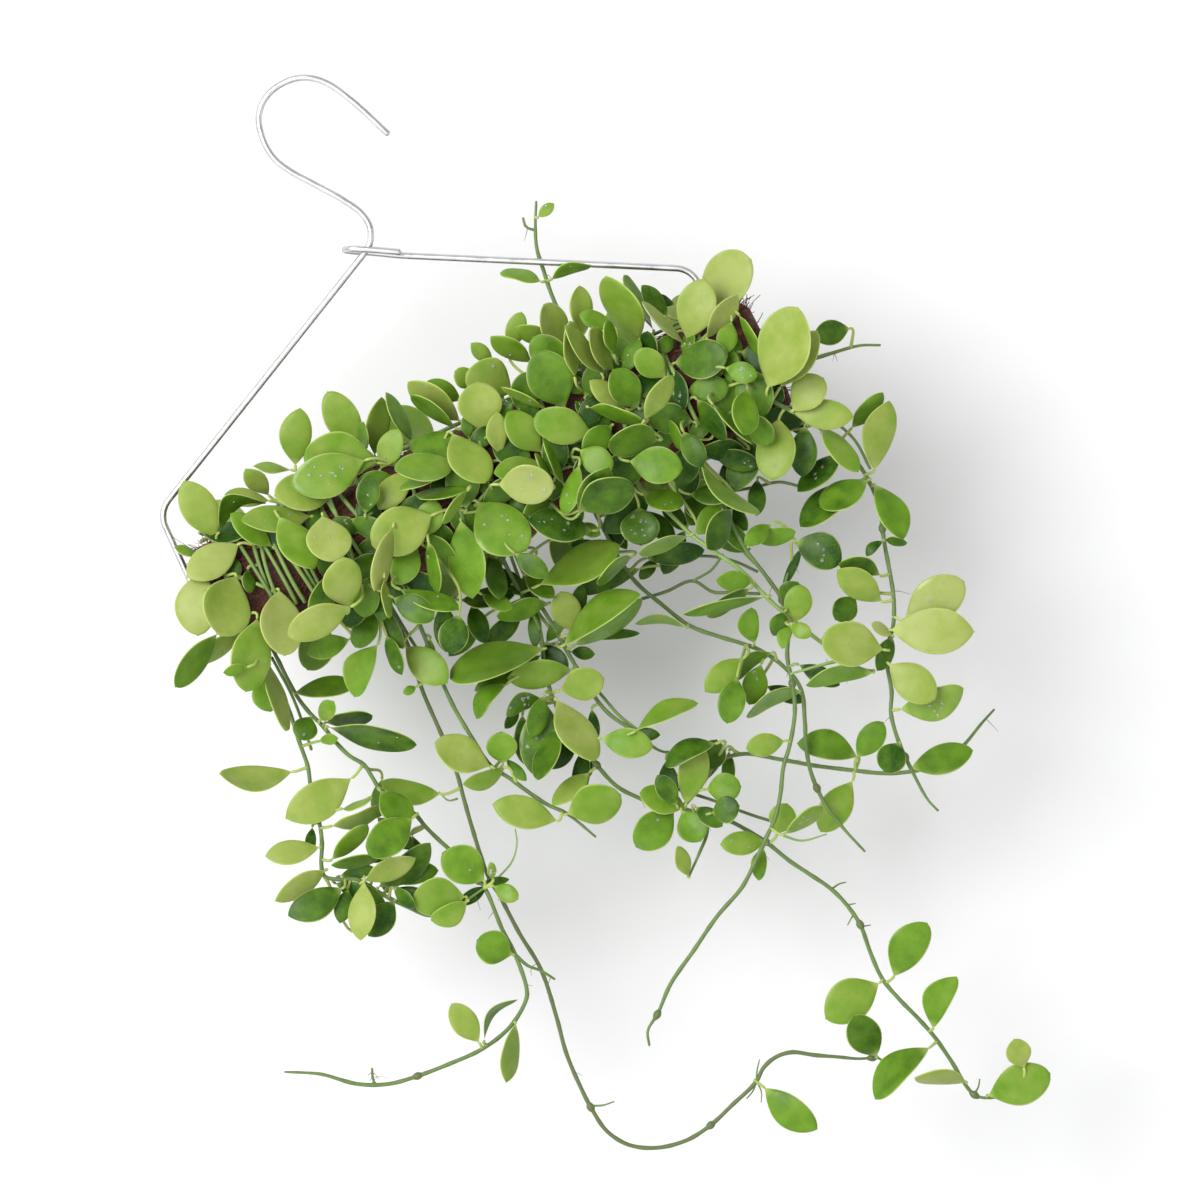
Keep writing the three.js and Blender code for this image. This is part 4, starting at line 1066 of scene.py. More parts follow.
# %% A whole spray
STEM_AROUND = 10
ROUND_STEM = 0.88
TIP_SHARE = 0.55
TAPER_LENGTH = 60
JOINT_SWELL = 0.13
JOINT_SPACING = 3.6
STEM_YOUTH = 0.45


def add_stem(heap, fine, youth):
    run = np.arange(len(fine)) * FINE_STEP
    left = run[-1] - run
    taper = np.clip(TIP_SHARE + left / TAPER_LENGTH, TIP_SHARE, 1)
    radii = ROUND_STEM * taper * (1 + JOINT_SWELL * np.sin(run / JOINT_SPACING) ** 8)
    tube(heap, fine, radii, STEM_AROUND, (youth, 0, 0, 1), STEM_LOOK)


all_stems = []
seen_leaves = []
wet_leaves = []


def add_spray(name, cover, routes, rows, depth_of, youth=STEM_YOUTH):
    """Makes the piece that takes the place of a node, and returns its leaves"""
    coarse = [pair[0] for pair in routes]
    for route in coarse:
        cover.stamp_route(route)
    heap = Heap()
    for _, fine in routes:
        add_stem(heap, fine, youth)
        all_stems.append(fine)
    leaves = [lay_leaf(cover, row, depth_of(row, coarse)) for row in rows]
    if cover is front:
        seen_leaves.extend(leaves)
    for leaf in leaves:
        look = LEAF_LOOK
        if is_among(WET_LEAVES, leaf):
            look = WET_LOOK
            wet_leaves.append(leaf)
        add_leaf(heap, leaf, anchor_on(coarse, leaf), tone_of(leaf), look)
    piece = heap.make(name + "_fresh", LOOKS)
    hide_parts(name)
    print(f"{name}: {len(rows)} leaves on {len(routes)} stems, {len(piece.data.polygons)} faces")
    return leaves


print("stems are up to", round(2 * ROUND_STEM * (1 + JOINT_SWELL), 1), "mm thick")

# %% [markdown]
# A young shoot stands up past the right arm of the hanger. It could lean on the wire, but in the
# photograph it passes behind it, so its route lies deeper than the wire. It has two small leaves and a
# short fork near its tip.

# %% Top shoot
add_spray("top_shoot", front, [
    rooted_route(3, 6, [
        (66, -160), (65.5, -148), (66, -127), (67, -118), (68.5, -107), (72, -98), (76.5, -89),
    ], lift=(0, 0, -9)),
    branch(6, 6, [
        (71, -100), (68, -97), (68.5, -93),
    ]),
], [
    (64, -121, 50, -110.5, 6, -2, -1), (69, -122, 86, -124, 5, -2, 2), (74.5, -95.5, 83, -93, 5, 1),
], beside_stem)

# %% [markdown]
# Under the middle of the log hang two stems side by side. The left one runs on as the longest shoot, to
# the lower right, and a long branch leaves it to the right. They are one piece, because their leaves
# lie among each other and can't be told apart by stem.

# %% Centre spray
add_spray("centre_spray", front, [
    rooted_route(1, 4, [
        (0, -219), (1, -240), (2, -255), (-3, -272), (-5, -284), (-4, -300), (0, -318), (4, -330),
        (10, -338), (17, -345), (25, -350), (33, -357), (41, -363), (48, -372), (52, -378), (58, -390),
        (63, -398), (69, -408), (72, -416), (74, -427), (73, -440), (73, -452), (76, -463), (80, -474),
        (83, -484), (85, -495), (88, -513), (93, -517), (101, -519),
    ]),
    rooted_route(5, 7, [
        (6, -219), (6, -240), (8, -258), (9, -272), (11, -290), (14, -301), (20, -311), (27, -324),
        (33, -328),
    ]),
    branch(4, 26, [
        (26, -350), (37, -345), (48, -339), (60, -341), (72, -349), (85, -358), (98, -366),
        (110, -373), (120, -377), (130, -379), (140, -379), (148, -376), (158, -371), (165, -368),
    ]),
    branch(4, 2, [
        (33, -357), (31, -364), (24, -371), (16, -378),
    ]),
    branch(4, 7, [
        (1, -262), (5, -264), (9, -266),
    ]),
], [
    (122, -376, 149, -380, 13), (97, -370.5, 75.5, -384.5, 14), (103, -362, 82, -346, 13, 4, -2.5),
    (103, -362, 119, -353, 11.5), (13, -268, 47, -262, 9, 2, -1.5), (18, -258, 26, -246, 7, 2),
    (10, -247, -12, -243, 9), (7, -277, -19, -269, 12.5), (-20, -271, -38, -279, 8, 3, -3.5),
    (-9, -285, -25, -312, 18), (-9, -284, -26, -283, 8, 3, -3), (-8, -282, -20, -296, 9, 2),
    (-8, -296, -25, -313.5, 10, 2), (14, -262, 17, -245, 13), (0, -264, -41, -259, 15, 4, -2.5),
    (6, -232, 13, -246, 8, 2), (-24, -230, -2, -238, 9, 2), (9, -266, 47, -260, 12, 4, 4),
    (10, -238.5, 48, -237.5, 16), (-4, -286, 0, -316, 15), (-1, -283, 18, -286, 14.5),
    (7, -309, 25, -321, 13), (21, -312, 50, -312, 8, 3, 3), (-4, -320, -24, -326, 9),
    (22, -350, 1, -357, 16), (27, -350, 12, -337, 12), (42, -341, 51, -330, 12),
    (28, -349, 44, -328, 13), (38, -347, 52, -352, 13), (25, -351, 27, -366, 13.5),
    (31, -352, 38, -364, 8, 2), (50, -331, 27, -331, 9, 3, -3), (24, -348, 22, -333, 9, 2),
    (36, -357, 48, -359, 12), (16, -378, 17, -364, 7), (52, -378, 34, -371, 10.5),
    (50, -380, 42.5, -391.5, 7, 4, -1), (58, -377, 67, -367, 12), (71, -453, 44, -457, 18.5, 4, -1),
    (78, -453, 100, -438, 16, 4, 2), (84, -480, 102, -464, 12.5, 4, 4),
    (79, -487, 49, -497, 12.5, 4, -4), (87, -507, 68, -495, 8, 4, -1.5), (93, -516, 121, -518, 18),
    (112, -511, 113, -498, 11),
], beside_stem)

# %% [markdown]
# Next to it hangs a thin, mostly bare shoot, which starts under the log's right half and ends straight
# down. Only parts of it show between the others, so it could be left out where it's hidden, but then
# it would be missing in other views. It hangs the deepest of them.

# %% Straight shoot
add_spray("straight_shoot", front, [
    rooted_route(6, 15, [
        (44, -219), (47, -252), (54, -268), (61, -281), (70, -290), (78, -297), (84, -303), (90, -313),
        (93, -325), (89, -338), (85, -348), (82, -360), (82, -375), (85, -388), (89, -400),
    ]),
], [
    (50, -244, 33, -247, 6), (83, -299, 88, -285, 9.5, 4, 2), (88, -306, 69, -309.5, 7, 3, -2.5),
    (82, -308.5, 70, -322, 11), (92, -326, 67, -326, 7, 3, -2), (76, -303, 55, -309, 12),
    (70, -309, 58, -325, 12), (59, -281, 40, -270.5, 4, 2, -3),
], beside_stem)

# %% [markdown]
# One long bare shoot hangs down, makes a wide turn and runs back up to the right, as shoots do that
# have grown along the ground. It could be two arcs and a line, but its small wobbles make it look
# grown, so it follows traced points as well. It is older and browner than the others.

# %% Shoot with the wide turn
add_spray("u_turn_shoot", front, [
    rooted_route(6, 13, [
        (-53, -219), (-52, -240), (-54.5, -258), (-55, -280), (-56, -298), (-57.5, -307),
        (-59.5, -320), (-62, -343), (-61, -352), (-60, -370), (-58, -388), (-60.5, -410), (-63, -425),
        (-63.5, -440), (-63, -452), (-61, -463), (-55, -472), (-45, -478), (-32, -480.5), (-20, -479),
        (-8, -475), (6, -470), (11, -466), (18, -464), (25, -465), (33, -470), (42, -475),
        (50, -479.5), (57, -482),
    ]),
], [
    (-66, -302, -87, -287, 10.5, 4, 2), (8, -474, 21, -499, 14, 4, -1.5), (57, -481, 55, -461, 15),
], beside_stem, youth=0.3)

# %% [markdown]
# A short pale shoot ends in large pale leaves, left of the middle. It hangs in front of the shoot with
# the wide turn, and a little behind the left spray.

# %% Short shoot
add_spray("short_shoot", front, [
    rooted_route(-2, 0, [
        (-43, -219), (-44, -240), (-45, -256), (-45, -270), (-43.5, -285), (-41, -300), (-36, -308),
        (-31, -317), (-26, -325), (-20, -332), (-13, -346),
    ]),
], [
    (-56, -256, -62, -256.5, 4, 2), (-53, -239, -43, -260, 14.5), (-36, -301, -31, -288.5, 13.5),
    (-36, -303, -55, -302, 8, 3, 2), (-41, -300, -58, -281, 15.5), (-20, -332, 4, -334, 18),
    (-25, -333, -47, -315, 14),
], beside_stem)

# %% [markdown]
# The left spray is the densest: two hanging stems with a close cluster of leaves. One of them runs on
# below it, turns left and rises a little. The leaves are laid in the order of their rows, so that the
# last rows lie in front, as they do in the photograph.

# %% Left spray
add_spray("left_spray", front, [
    rooted_route(-2, -4, [
        (-111, -219), (-109, -236), (-111, -258), (-112, -268), (-115, -278), (-117, -290),
        (-120, -300), (-124, -308), (-125, -313), (-120, -317), (-113, -320), (-108, -327),
        (-103, -334), (-97, -341), (-91, -347), (-78, -348), (-65, -346),
    ]),
    rooted_route(3, -2, [
        (-105, -219), (-104, -238), (-102, -247), (-99, -255), (-97, -263), (-94, -271), (-90, -277),
        (-89, -283), (-88, -290), (-84, -297), (-79, -305), (-77, -312), (-74, -320), (-70, -329),
        (-67, -338), (-65, -346), (-65.5, -365), (-65, -378), (-67, -394), (-70, -398), (-80, -404.5),
        (-94, -408), (-110, -408), (-125, -407), (-137, -405), (-149, -399.5), (-161, -389.5),
        (-168, -385.5), (-175, -382),
    ]),
    branch(-2, 0, [
        (-65, -377), (-62, -384), (-58, -388), (-54, -394),
    ]),
    branch(-2, -2, [
        (-142, -403.6), (-142, -400), (-140.5, -396),
    ]),
], [
    (-104, -237, -80, -244.5, 9, 4, 1), (-102, -249, -110, -256, 11), (-97, -254, -78, -259.5, 7),
    (-99, -252, -90, -247, 8), (-97, -256, -66, -278.5, 10.5, 4, -0.7),
    (-119, -267, -147, -255, 11, 4, 2.5), (-97, -280, -129.5, -284, 17, 4, 1),
    (-113, -295, -90, -296, 7, 3, -2), (-103, -260, -95, -262, 5, 2), (-119, -308, -99, -301, 8),
    (-122, -301, -144, -295, 10.5), (-118, -322, -127, -334, 8), (-106, -327, -78, -319, 12, 4, -2),
    (-106, -290, -92, -291, 3, 3, -1), (-102, -335, -118, -344, 12.5), (-88, -290, -82, -307, 13),
    (-123, -311, -148, -314, 9.5), (-120, -321, -145.5, -322, 13.5, 4, 1), (-100, -316, -120, -310, 6),
    (-64, -343, -75, -325, 17, 4, -1), (-74, -346, -95, -338, 17, 4, -1),
    (-74, -348, -91, -349, 10, 2, 2), (-100, -330, -95, -341, 6, 1), (-110, -322, -86, -322, 10),
    (-80, -306, -103, -312, 15.5), (-110, -322, -121.5, -344, 12), (-60, -344, -58, -337, 4),
    (-61, -347, -54, -356, 8), (-66, -377, -77, -365, 15), (-94.5, -405, -98, -385, 11.5),
    (-92, -405, -72, -395, 3.5, 1, 5), (-77, -404, -91, -425, 8),
], beside_stem)

# %% [markdown]
# From the log's right half a shoot swings out to the right, then crosses under the centre spray to the
# lower left. It passes in front of what it crosses, so it stands further forward.

# %% Crossing shoot
add_spray("crossing_shoot", front, [
    rooted_route(2, -8, [
        (95, -219), (95, -240), (96, -262), (99, -275), (101, -288), (98, -300), (93, -310),
        (90, -322), (86, -333), (78, -345), (72, -352), (66, -362), (60, -370), (52, -377), (45, -383),
        (35, -391), (20, -398), (5, -407), (-10, -416), (-20, -425), (-27, -430), (-29, -436),
    ]),
    branch(-8, -9, [
        (101, -289), (104, -283), (110, -276), (118, -272),
    ]),
], [
    (101, -260, 118, -263, 8), (110, -256, 96, -259, 8), (101, -290, 110, -283, 12),
    (117, -267, 130, -283, 16, 4, 1), (77, -342, 61, -338, 10), (61, -378, 80, -374, 7, 2),
], beside_stem)

# %% [markdown]
# A young, pale green shoot runs almost straight to the lower right, in front of the other shoots there.
# The same stem finish serves for it, with the highest youth.

# %% Pale shoot
add_spray("pale_shoot", front, [
    rooted_route(-8, -17, [
        (66, -219), (72, -232), (77, -245), (83, -256), (90, -268), (96, -285), (102, -298),
        (110, -313), (118, -326), (124, -331),
    ]),
    branch(-17, -17, [
        (116, -321), (104, -319), (91, -317),
    ]),
], [
    (93, -275, 79, -268, 9), (90, -277, 69, -280, 7), (95, -283, 60, -275, 5),
    (102, -298, 110.5, -284.5, 12, 2), (100, -292, 91, -299, 8, 2),
    (100, -299, 92, -305.5, 6, 3, -1.5), (99, -298, 105.5, -305.5, 7), (123, -331, 95, -324, 8, 3, -2),
], beside_stem, youth=0.95)

# %% [markdown]
# ## Leaves on the log
#
# Over the log the stems lie side by side, from the top down over its front, and bear the dense
# shingled leaves. They show in a few gaps only, so they aren't traced: a loop lays them as arcs round
# the log, each with a little wander, and one more runs along the top.

# %% Draped stems
DRAPE_OVERLAP = 5
DRAPE_COUNT = 14
DRAPE_FIRST = -110
DRAPE_STEP = 17.2
DRAPE_STEPS = 6
DRAPE_WANDER = 2.2
LOG_LEAF_REACH = 31


def draped_stems(side, count, step, shift, top_turn, end_turn):
    """Stems over one side of the log, as pairs of a coarse and a fine route"""

    def place(x, turn):
        a = math.radians(turn)
        return (x, side * DRAPE_REACH * math.sin(a), LOG_Z + DRAPE_REACH * math.cos(a))

    top_start = top_turn - DRAPE_OVERLAP
    routes = []
    for i in range(count):
        x = DRAPE_FIRST + shift + i * step
        stem = []
        for k in range(DRAPE_STEPS + 1):
            wander = DRAPE_WANDER * math.sin(0.9 * k + i) * min(1, k / 2)
            turn = top_start + (end_turn - top_start) * k / DRAPE_STEPS
            stem.append(place(x + wander, turn))
        routes.append((np.array(stem), spaced_points(stem, FINE_STEP)))
    first, last = DRAPE_FIRST + shift - 4, DRAPE_FIRST + shift + (count - 1) * step + 4
    runner = [place(first + (last - first) * k / (count + 1), top_turn) for k in range(count + 2)]
    routes.append((np.array(runner), spaced_points(runner, FINE_STEP)))
    return routes


front_drapes = draped_stems(-1, DRAPE_COUNT, DRAPE_STEP, 0, -12, 156)
print(len(front_drapes), "stems over the front of the log")

# %% [markdown]
# The front foliage is the heart of the plant: more than a hundred leaves that lie over each other like
# roof tiles. Scattering copies of one leaf over the log would give a hedge, and none of them would be
# where the photograph shows one. So each leaf has its row here too. They start at the log's face, and
# the rule of laying brings each one out as far as the leaves below it need.

# %% Front foliage
ABOVE_LOG_REACH = 5
BELOW_LOG_REACH = 14


def off_log(side):
    """Leaves start on the log's round face, or near its middle plane where they stand past it"""

    def depth(row, routes):
        rise = row[1] - LOG_Z
        reach = math.sqrt(max(0, LOG_LEAF_REACH ** 2 - rise * rise))
        return side * max(reach, ABOVE_LOG_REACH if rise > 0 else BELOW_LOG_REACH)

    return depth


front_leaves = add_spray("front_foliage", front, front_drapes, [
    (31, -144, 26, -133, 7), (12, -153, 2, -140, 9), (20, -150, 15, -141, 9), (40, -142, 51, -130, 9),
    (57, -146, 46, -135, 8), (62, -152, 61, -131, 13), (71, -150, 78, -130, 10),
    (99, -160, 97, -134, 6), (46, -151, 35, -134, 9), (112, -154, 104, -147, 5),
    (107, -157, 102, -141, 8), (-63.5, -149, -51.5, -128, 14, 4, 1), (-36, -154, -38, -126.5, 15),
    (-66, -150, -80, -142, 4.5), (-80, -158, -96, -148, 8), (-79, -156, -83, -142, 9),
    (-106, -164, -109, -136, 15.5), (-31, -159, -18, -138, 10), (-35, -156, -29, -145, 5),
    (-14, -160, -15.5, -137, 6.5), (8, -161, -5, -137, 12), (5, -163, -6, -143, 6),
    (58, -162, 51, -142, 15), (33, -159, 19, -144, 18, 4, -2), (92, -161, 90, -131.5, 14),
    (84, -152, 73, -141, 8), (121, -157, 148.5, -150.5, 22), (-104, -162, -81, -159, 7, 5, 8),
    (-86, -177, -96, -157, 10), (-66, -172, -93, -162, 12), (-31, -166, -17, -154, 11),
    (-52, -165, -76, -158, 17), (-31, -163, -58, -148, 21, 4, -1.5), (-35, -160, -68, -157, 19, 4, 1),
    (-20, -172, -39, -181, 12), (-4, -178, -27, -178, 5), (-1, -177, -25, -170, 13),
    (3, -165, 7, -190, 16.5), (15, -169, 22, -150, 19), (51, -175, 50, -149, 20),
    (43, -172, 30, -156, 3.5), (18, -182, 24, -165, 9, 4, 1), (60, -165, 68, -143, 8),
    (71, -168, 65, -144, 8), (76, -169, 74, -150, 9), (79, -163, 82, -149, 6),
    (108, -171, 99, -148, 5), (95, -181, 88, -166, 12), (74, -186, 65, -169, 9),
    (79, -188, 76, -169, 14), (110, -170, 127, -150, 17), (118, -173, 137, -162, 9),
    (130, -171, 121, -182, 9), (134, -170, 135, -189, 4), (-115, -168, -124, -160, 4),
    (-118, -174, -130, -198, 18, 4, -1.5), (-99, -170, -124, -174, 15), (-113, -205, -137, -208, 8),
    (-122, -201, -147, -214, 10), (-105, -182, -121, -202, 21), (-78, -167, -73, -193, 15),
    (-61, -174, -64, -194, 19), (-27, -200, -15, -188, 12), (-30, -202, -45, -213, 12),
    (-19, -193, -47, -194, 21), (-36, -191, -54, -212, 8), (-22, -182, -2, -190, 6),
    (-1, -190, -16, -198, 4), (35, -195, 12, -188, 12), (34, -188, 28, -167, 14),
    (57, -190, 37, -174, 16), (37, -204, 37, -183, 4), (33, -203, 31, -188, 4),
    (66, -190, 50, -196, 11), (49, -194, 58, -207, 12), (12, -193, 33, -203, 17),
    (60, -179, 78, -194, 6), (79, -194, 97, -182, 9), (81, -204, 62, -196, 14),
    (66, -207, 85, -219, 16), (101, -190, 117, -196, 12), (101, -177, 122, -184, 17),
    (119, -188, 129.5, -197, 9), (103, -195, 107, -216, 8), (108, -200, 116, -222, 4),
    (124, -200, 114, -217, 12), (88, -197, 89, -212, 5), (92, -205, 93, -222, 10),
    (-112, -225, -116, -240, 14), (-108, -222, -113, -250, 7), (-104, -202, -121, -228, 17),
    (-116, -219, -126, -217, 5, 1), (-91, -195, -100, -221, 18), (-73, -226, -92, -224, 10),
    (-63, -233, -81, -249, 13, 4, -3.5), (-58, -231, -59, -249, 7, 2), (-58, -220, -72, -230, 11),
    (-67, -214, -60, -194, 17, 4, 1.5), (-66, -214, -95, -214, 14), (-25, -203, -30, -224, 6),
    (-48, -209, -53, -225, 4), (-48, -218, -36, -233, 12), (-44, -216, -25, -234, 8),
    (-26, -236, -36, -249, 13), (-14, -232, -5, -243, 7), (-3, -218, -8, -237, 9),
    (-9, -200, -18, -232, 16), (1, -196, 11, -223, 23, 4, -1.5), (36, -222, 42, -230, 6),
    (40, -227, 17, -212, 14), (6, -222, 15, -237, 9, 2), (46, -200, 32, -216, 8),
    (38, -217, 63, -216, 16), (38, -218, 57, -206, 12), (62, -226, 56, -241, 17),
    (66, -222, 79, -233, 10), (95, -238, 80, -247, 9), (98, -243, 81, -254, 11),
    (76, -246, 54, -244, 6), (84, -230, 100, -238, 9), (93, -221, 106, -250, 7, 4, -3),
    (100, -219, 116, -231, 9, 2),
], off_log(-1), youth=0.62)

# %% [markdown]
# Between these leaves the photograph shows more, darker ones, close to the log. They can't be told
# apart, so they aren't traced but laid by a rule, which needs to know where there is room. A ceiling
# grid holds how near to the log the leaves in front come, and where nothing covers it.

# %% Room under the front leaves
NO_LEAF = 1e5


class Ceiling:
    def __init__(self, cover, leaves):
        self.cover = cover
        self.low = np.full(cover.near.shape, FAR_OFF)
        for leaf in leaves:
            self.add(leaf)

    def add(self, leaf):
        p = leaf.samples(0.9)
        row, column = self.cover.cells(p[:, 0], p[:, 2])
        np.minimum.at(self.low, (row, column), p[:, 1] * self.cover.side)

    def over(self, p):
        return self.low[self.cover.cells(p[:, 0], p[:, 2])]


def open_places(ceiling):
    """Places on the log's front that no leaf covers yet"""
    x, z = np.meshgrid(np.arange(LOG_LEFT + 3, LOG_RIGHT - 2), np.arange(LOG_Z - 29, LOG_Z + 31))
    places = np.column_stack([x.ravel(), np.zeros(x.size), z.ravel()]).astype(float)
    return places[ceiling.over(places) > NO_LEAF]


ceiling = Ceiling(front, front_leaves)
print(len(open_places(ceiling)), "square millimetres of the log's front are open")

# %% [markdown]
# In a few places the photograph shows bare coir, the wall, or bare stems side by side. There the rule
# must not lay a leaf. The places are circles: x, z and radius. The bare stems are traced: x, and the z
# of their upper and lower end. They lie a little outside the stems that the leaves hang on.

# %% Bare places and bare stems
BARE_PLACES = [
    (-92, -187, 6), (-79, -196, 5), (-97, -173, 5), (-101, -195, 4), (-88, -199, 5), (-50, -173, 6),
    (-52, -190, 3), (138, -173, 5), (-97, -229, 9), (-126, -224, 8), (-4, -152, 6), (-75, -151, 5),
    (-128, -164, 9), (156, -196, 6), (-24, -248, 8), (148, -240, 6),
]
BARE_STEMS = [
    (-97, -166, -197), (-91, -170, -200), (-88, -172, -203), (-84, -172, -204), (-80, -176, -208),
    (-75, -184, -212), (-57, -166, -216), (-54, -168, -214), (-48, -168, -198), (-44, -170, -200),
    (12, -164, -190), (48, -164, -188), (70, -176, -206), (96, -170, -200), (99, -176, -206),
    (126, -172, -206),
]
BARE_STEM_POINTS = 12
BARE_STEM_OUT = 1.6
MOST_IN_BARE_PLACE = 0.06


def in_bare_place(p):
    inside = (np.hypot(p[:, 0] - x, p[:, 2] - z) < radius for x, z, radius in BARE_PLACES)
    return any(part.mean() > MOST_IN_BARE_PLACE for part in inside)


def bare_stem(x, top, low):
    z = np.linspace(top, low, BARE_STEM_POINTS)
    rise = np.clip(z - LOG_Z, -DRAPE_REACH, DRAPE_REACH)
    lean = np.linspace(-1, 1, BARE_STEM_POINTS) * draw.uniform(-3, 3)
    wander = draw.uniform(0.4, 1.2) * np.sin(np.linspace(0, 3, BARE_STEM_POINTS) + draw.uniform(0, 6))
    return np.column_stack([x + lean + wander, -np.sqrt(DRAPE_REACH ** 2 - rise ** 2) - BARE_STEM_OUT, z])


print(len(BARE_PLACES), "bare places and", len(BARE_STEMS), "bare stems")

# %% [markdown]
# Now the rule. A small leaf is drawn over an open place and laid on the log. It is kept if hardly any
# of it reaches through the ceiling, and if some of it shows. The first round lies on the stems. The
# second may sink between them, down to the coir, and fills gaps that are still open. One round of
# small leaves would do, but it would look like one more even layer.

# %% Leaves in the shade of the front ones
UNDER_TRIES = (700, 1300)
STEM_ROUND_SIZES = (15, 26)
COIR_ROUND_SIZES = (10, 20)
UNDER_MARGIN = 0.7
MOST_PIERCED = 0.14
LEAST_SHOWN = 0.1
# The small leaves' low tone is painted shade, on top of the shade that the front leaves cast.
UNDER_PAINTED_SHADE_TONE = 0.08
COIR_REACH = 27.5
SUNK_START = 0.8
TRIES_PER_LOOK = 50
UPRIGHT, HANGING = 0.5 * math.pi, -0.55 * math.pi


def under_row(places, shortest, longest):
    """A small leaf over an open place, which points up near the log's top and down elsewhere"""
    x, _, z = places[draw.integers(len(places))]
    upward = 0.5 + 0.5 * (z - LOG_Z) / 28
    heading = (UPRIGHT if draw.random() < upward else HANGING) + draw.normal(0, 0.75)
    length = draw.uniform(shortest, longest)
    width = length * draw.uniform(0.45, 0.75)
    run, rise = length / 2 * math.cos(heading), length / 2 * math.sin(heading)
    return (x - run, z - rise, x + run, z + rise, width, draw.uniform(0, 5))


def on_log_stems(row, routes):
    return off_log(front.side)(row, routes)


def sunk_to_coir(row, routes):
    return front.side * COIR_REACH * SUNK_START


def may_stay(leaf, cover, ceiling):
    p = leaf.samples(1.5)
    over = ceiling.over(p)
    pierced = (p[:, 1] * cover.side + UNDER_MARGIN > over).mean()
    shown = (over > NO_LEAF).mean()
    return pierced <= MOST_PIERCED and shown >= LEAST_SHOWN and not in_bare_place(p)


def lay_under_leaves(heap, cover, ceiling, routes, tries, sizes, depth_of):
    kept = 0
    for k in range(tries):
        if k % TRIES_PER_LOOK == 0:
            places = open_places(ceiling)
        row = under_row(places, *sizes)
        before = cover.near.copy()
        leaf = lay_leaf(cover, row, depth_of(row, routes))
        if not may_stay(leaf, cover, ceiling):
            cover.near = before
            continue
        add_leaf(heap, leaf, anchor_on(routes, leaf), UNDER_PAINTED_SHADE_TONE + draw.uniform(-0.14, 0.24), LEAF_LOOK)
        ceiling.add(leaf)
        seen_leaves.append(leaf)
        kept += 1
    return kept


front_routes = [coarse for coarse, _ in front_drapes]
under_heap = Heap()
on_stems, on_coir = Cover(-1), Cover(-1)
on_stems.stamp_log()
on_coir.stamp_log(COIR_REACH)
for stem in BARE_STEMS:
    route = bare_stem(*stem)
    on_stems.stamp_route(route)
    radii = np.full(len(route), draw.uniform(0.8, 1.0))
    tube(under_heap, route, radii, STEM_AROUND, (draw.uniform(0.45, 0.85), 0, 0, 1), STEM_LOOK)
first_round = lay_under_leaves(
    under_heap, on_stems, ceiling, front_routes, UNDER_TRIES[0], STEM_ROUND_SIZES, on_log_stems,
)
second_round = lay_under_leaves(
    under_heap, on_coir, ceiling, front_routes, UNDER_TRIES[1], COIR_ROUND_SIZES, sunk_to_coir,
)
under_leaves = under_heap.make("front_under_leaves", LOOKS)
print("leaves in the shade:", first_round, "on the stems and", second_round, "on the coir")

# %% [markdown]
# A thin shoot comes out of the log's right end. It is the only one that isn't rooted in the log's
# under side, so it starts inside the end face instead.

# %% End shoot
add_spray("end_shoot", front, [
    rooted_route(-6, -8, [
        (145, -197.5), (153, -199), (164, -200.5), (176, -202.5), (184, -206),
    ], lift=(-14, 0, 1)),
], [
    (175, -194, 160, -191, 11, 2),
], beside_stem)

# %% [markdown]
# The outermost shoot on the right hangs in front, and bears the largest and roundest leaves. They stand
# off the stem in pairs, and overlap the front foliage, so the shoot is laid after it.

# %% Outer shoot
add_spray("outer_shoot", front, [
    rooted_route(-31, -12, [
        (131, -208), (138, -217), (146, -228), (152, -240), (155, -252), (155, -268), (152, -278),
        (150, -285), (147, -297), (144, -307), (139, -317), (134, -323), (130, -331), (127, -342),
        (123, -350), (121, -362), (121, -377), (122, -390), (124, -396),
    ], lift=(-2, 15, 3)),
], [
    (158, -233, 176, -225, 8), (151, -255, 121, -262, 12.5, 4, -1.5), (150, -241, 126, -248, 10, 2),
    (140, -224, 130, -243, 12, 2), (151, -282, 159, -287, 4), (150, -282, 141, -285, 4.5, 2, -1),
    (130, -299, 118, -304, 11), (143, -295, 129, -283, 8, 2, -2), (137, -321, 125, -331, 8),
    (137, -320, 131, -312, 5), (121, -363, 110, -371, 13), (127, -350, 155, -353, 14, 4, -3),
    (146, -227, 152.5, -251, 10), (159.5, -253, 177, -229, 14, 4, 1.5), (155, -256, 132, -258, 12.5),
    (157, -259, 158, -285, 13, 4, 1.5), (139, -305, 127.5, -285, 13), (131, -324, 109, -309, 19.5),
    (145, -316, 174, -312, 19), (138, -318, 169, -333, 20), (131, -331, 142, -352, 16),
    (138, -217, 160, -229, 13), (138, -216, 155, -209, 15, 4, 1), (131, -217, 118, -239, 17),
    (137, -205, 161, -190, 13), (132, -203, 157, -178, 23),
], beside_stem)

# %% [markdown]
# Behind the hanging sprays hang thin stems, of which only parts show. Each is a few points of x and z,
# a radius and a youth. Their depth could be guessed one by one, but it is enough to start them just
# behind the stem that is nearest in the picture.

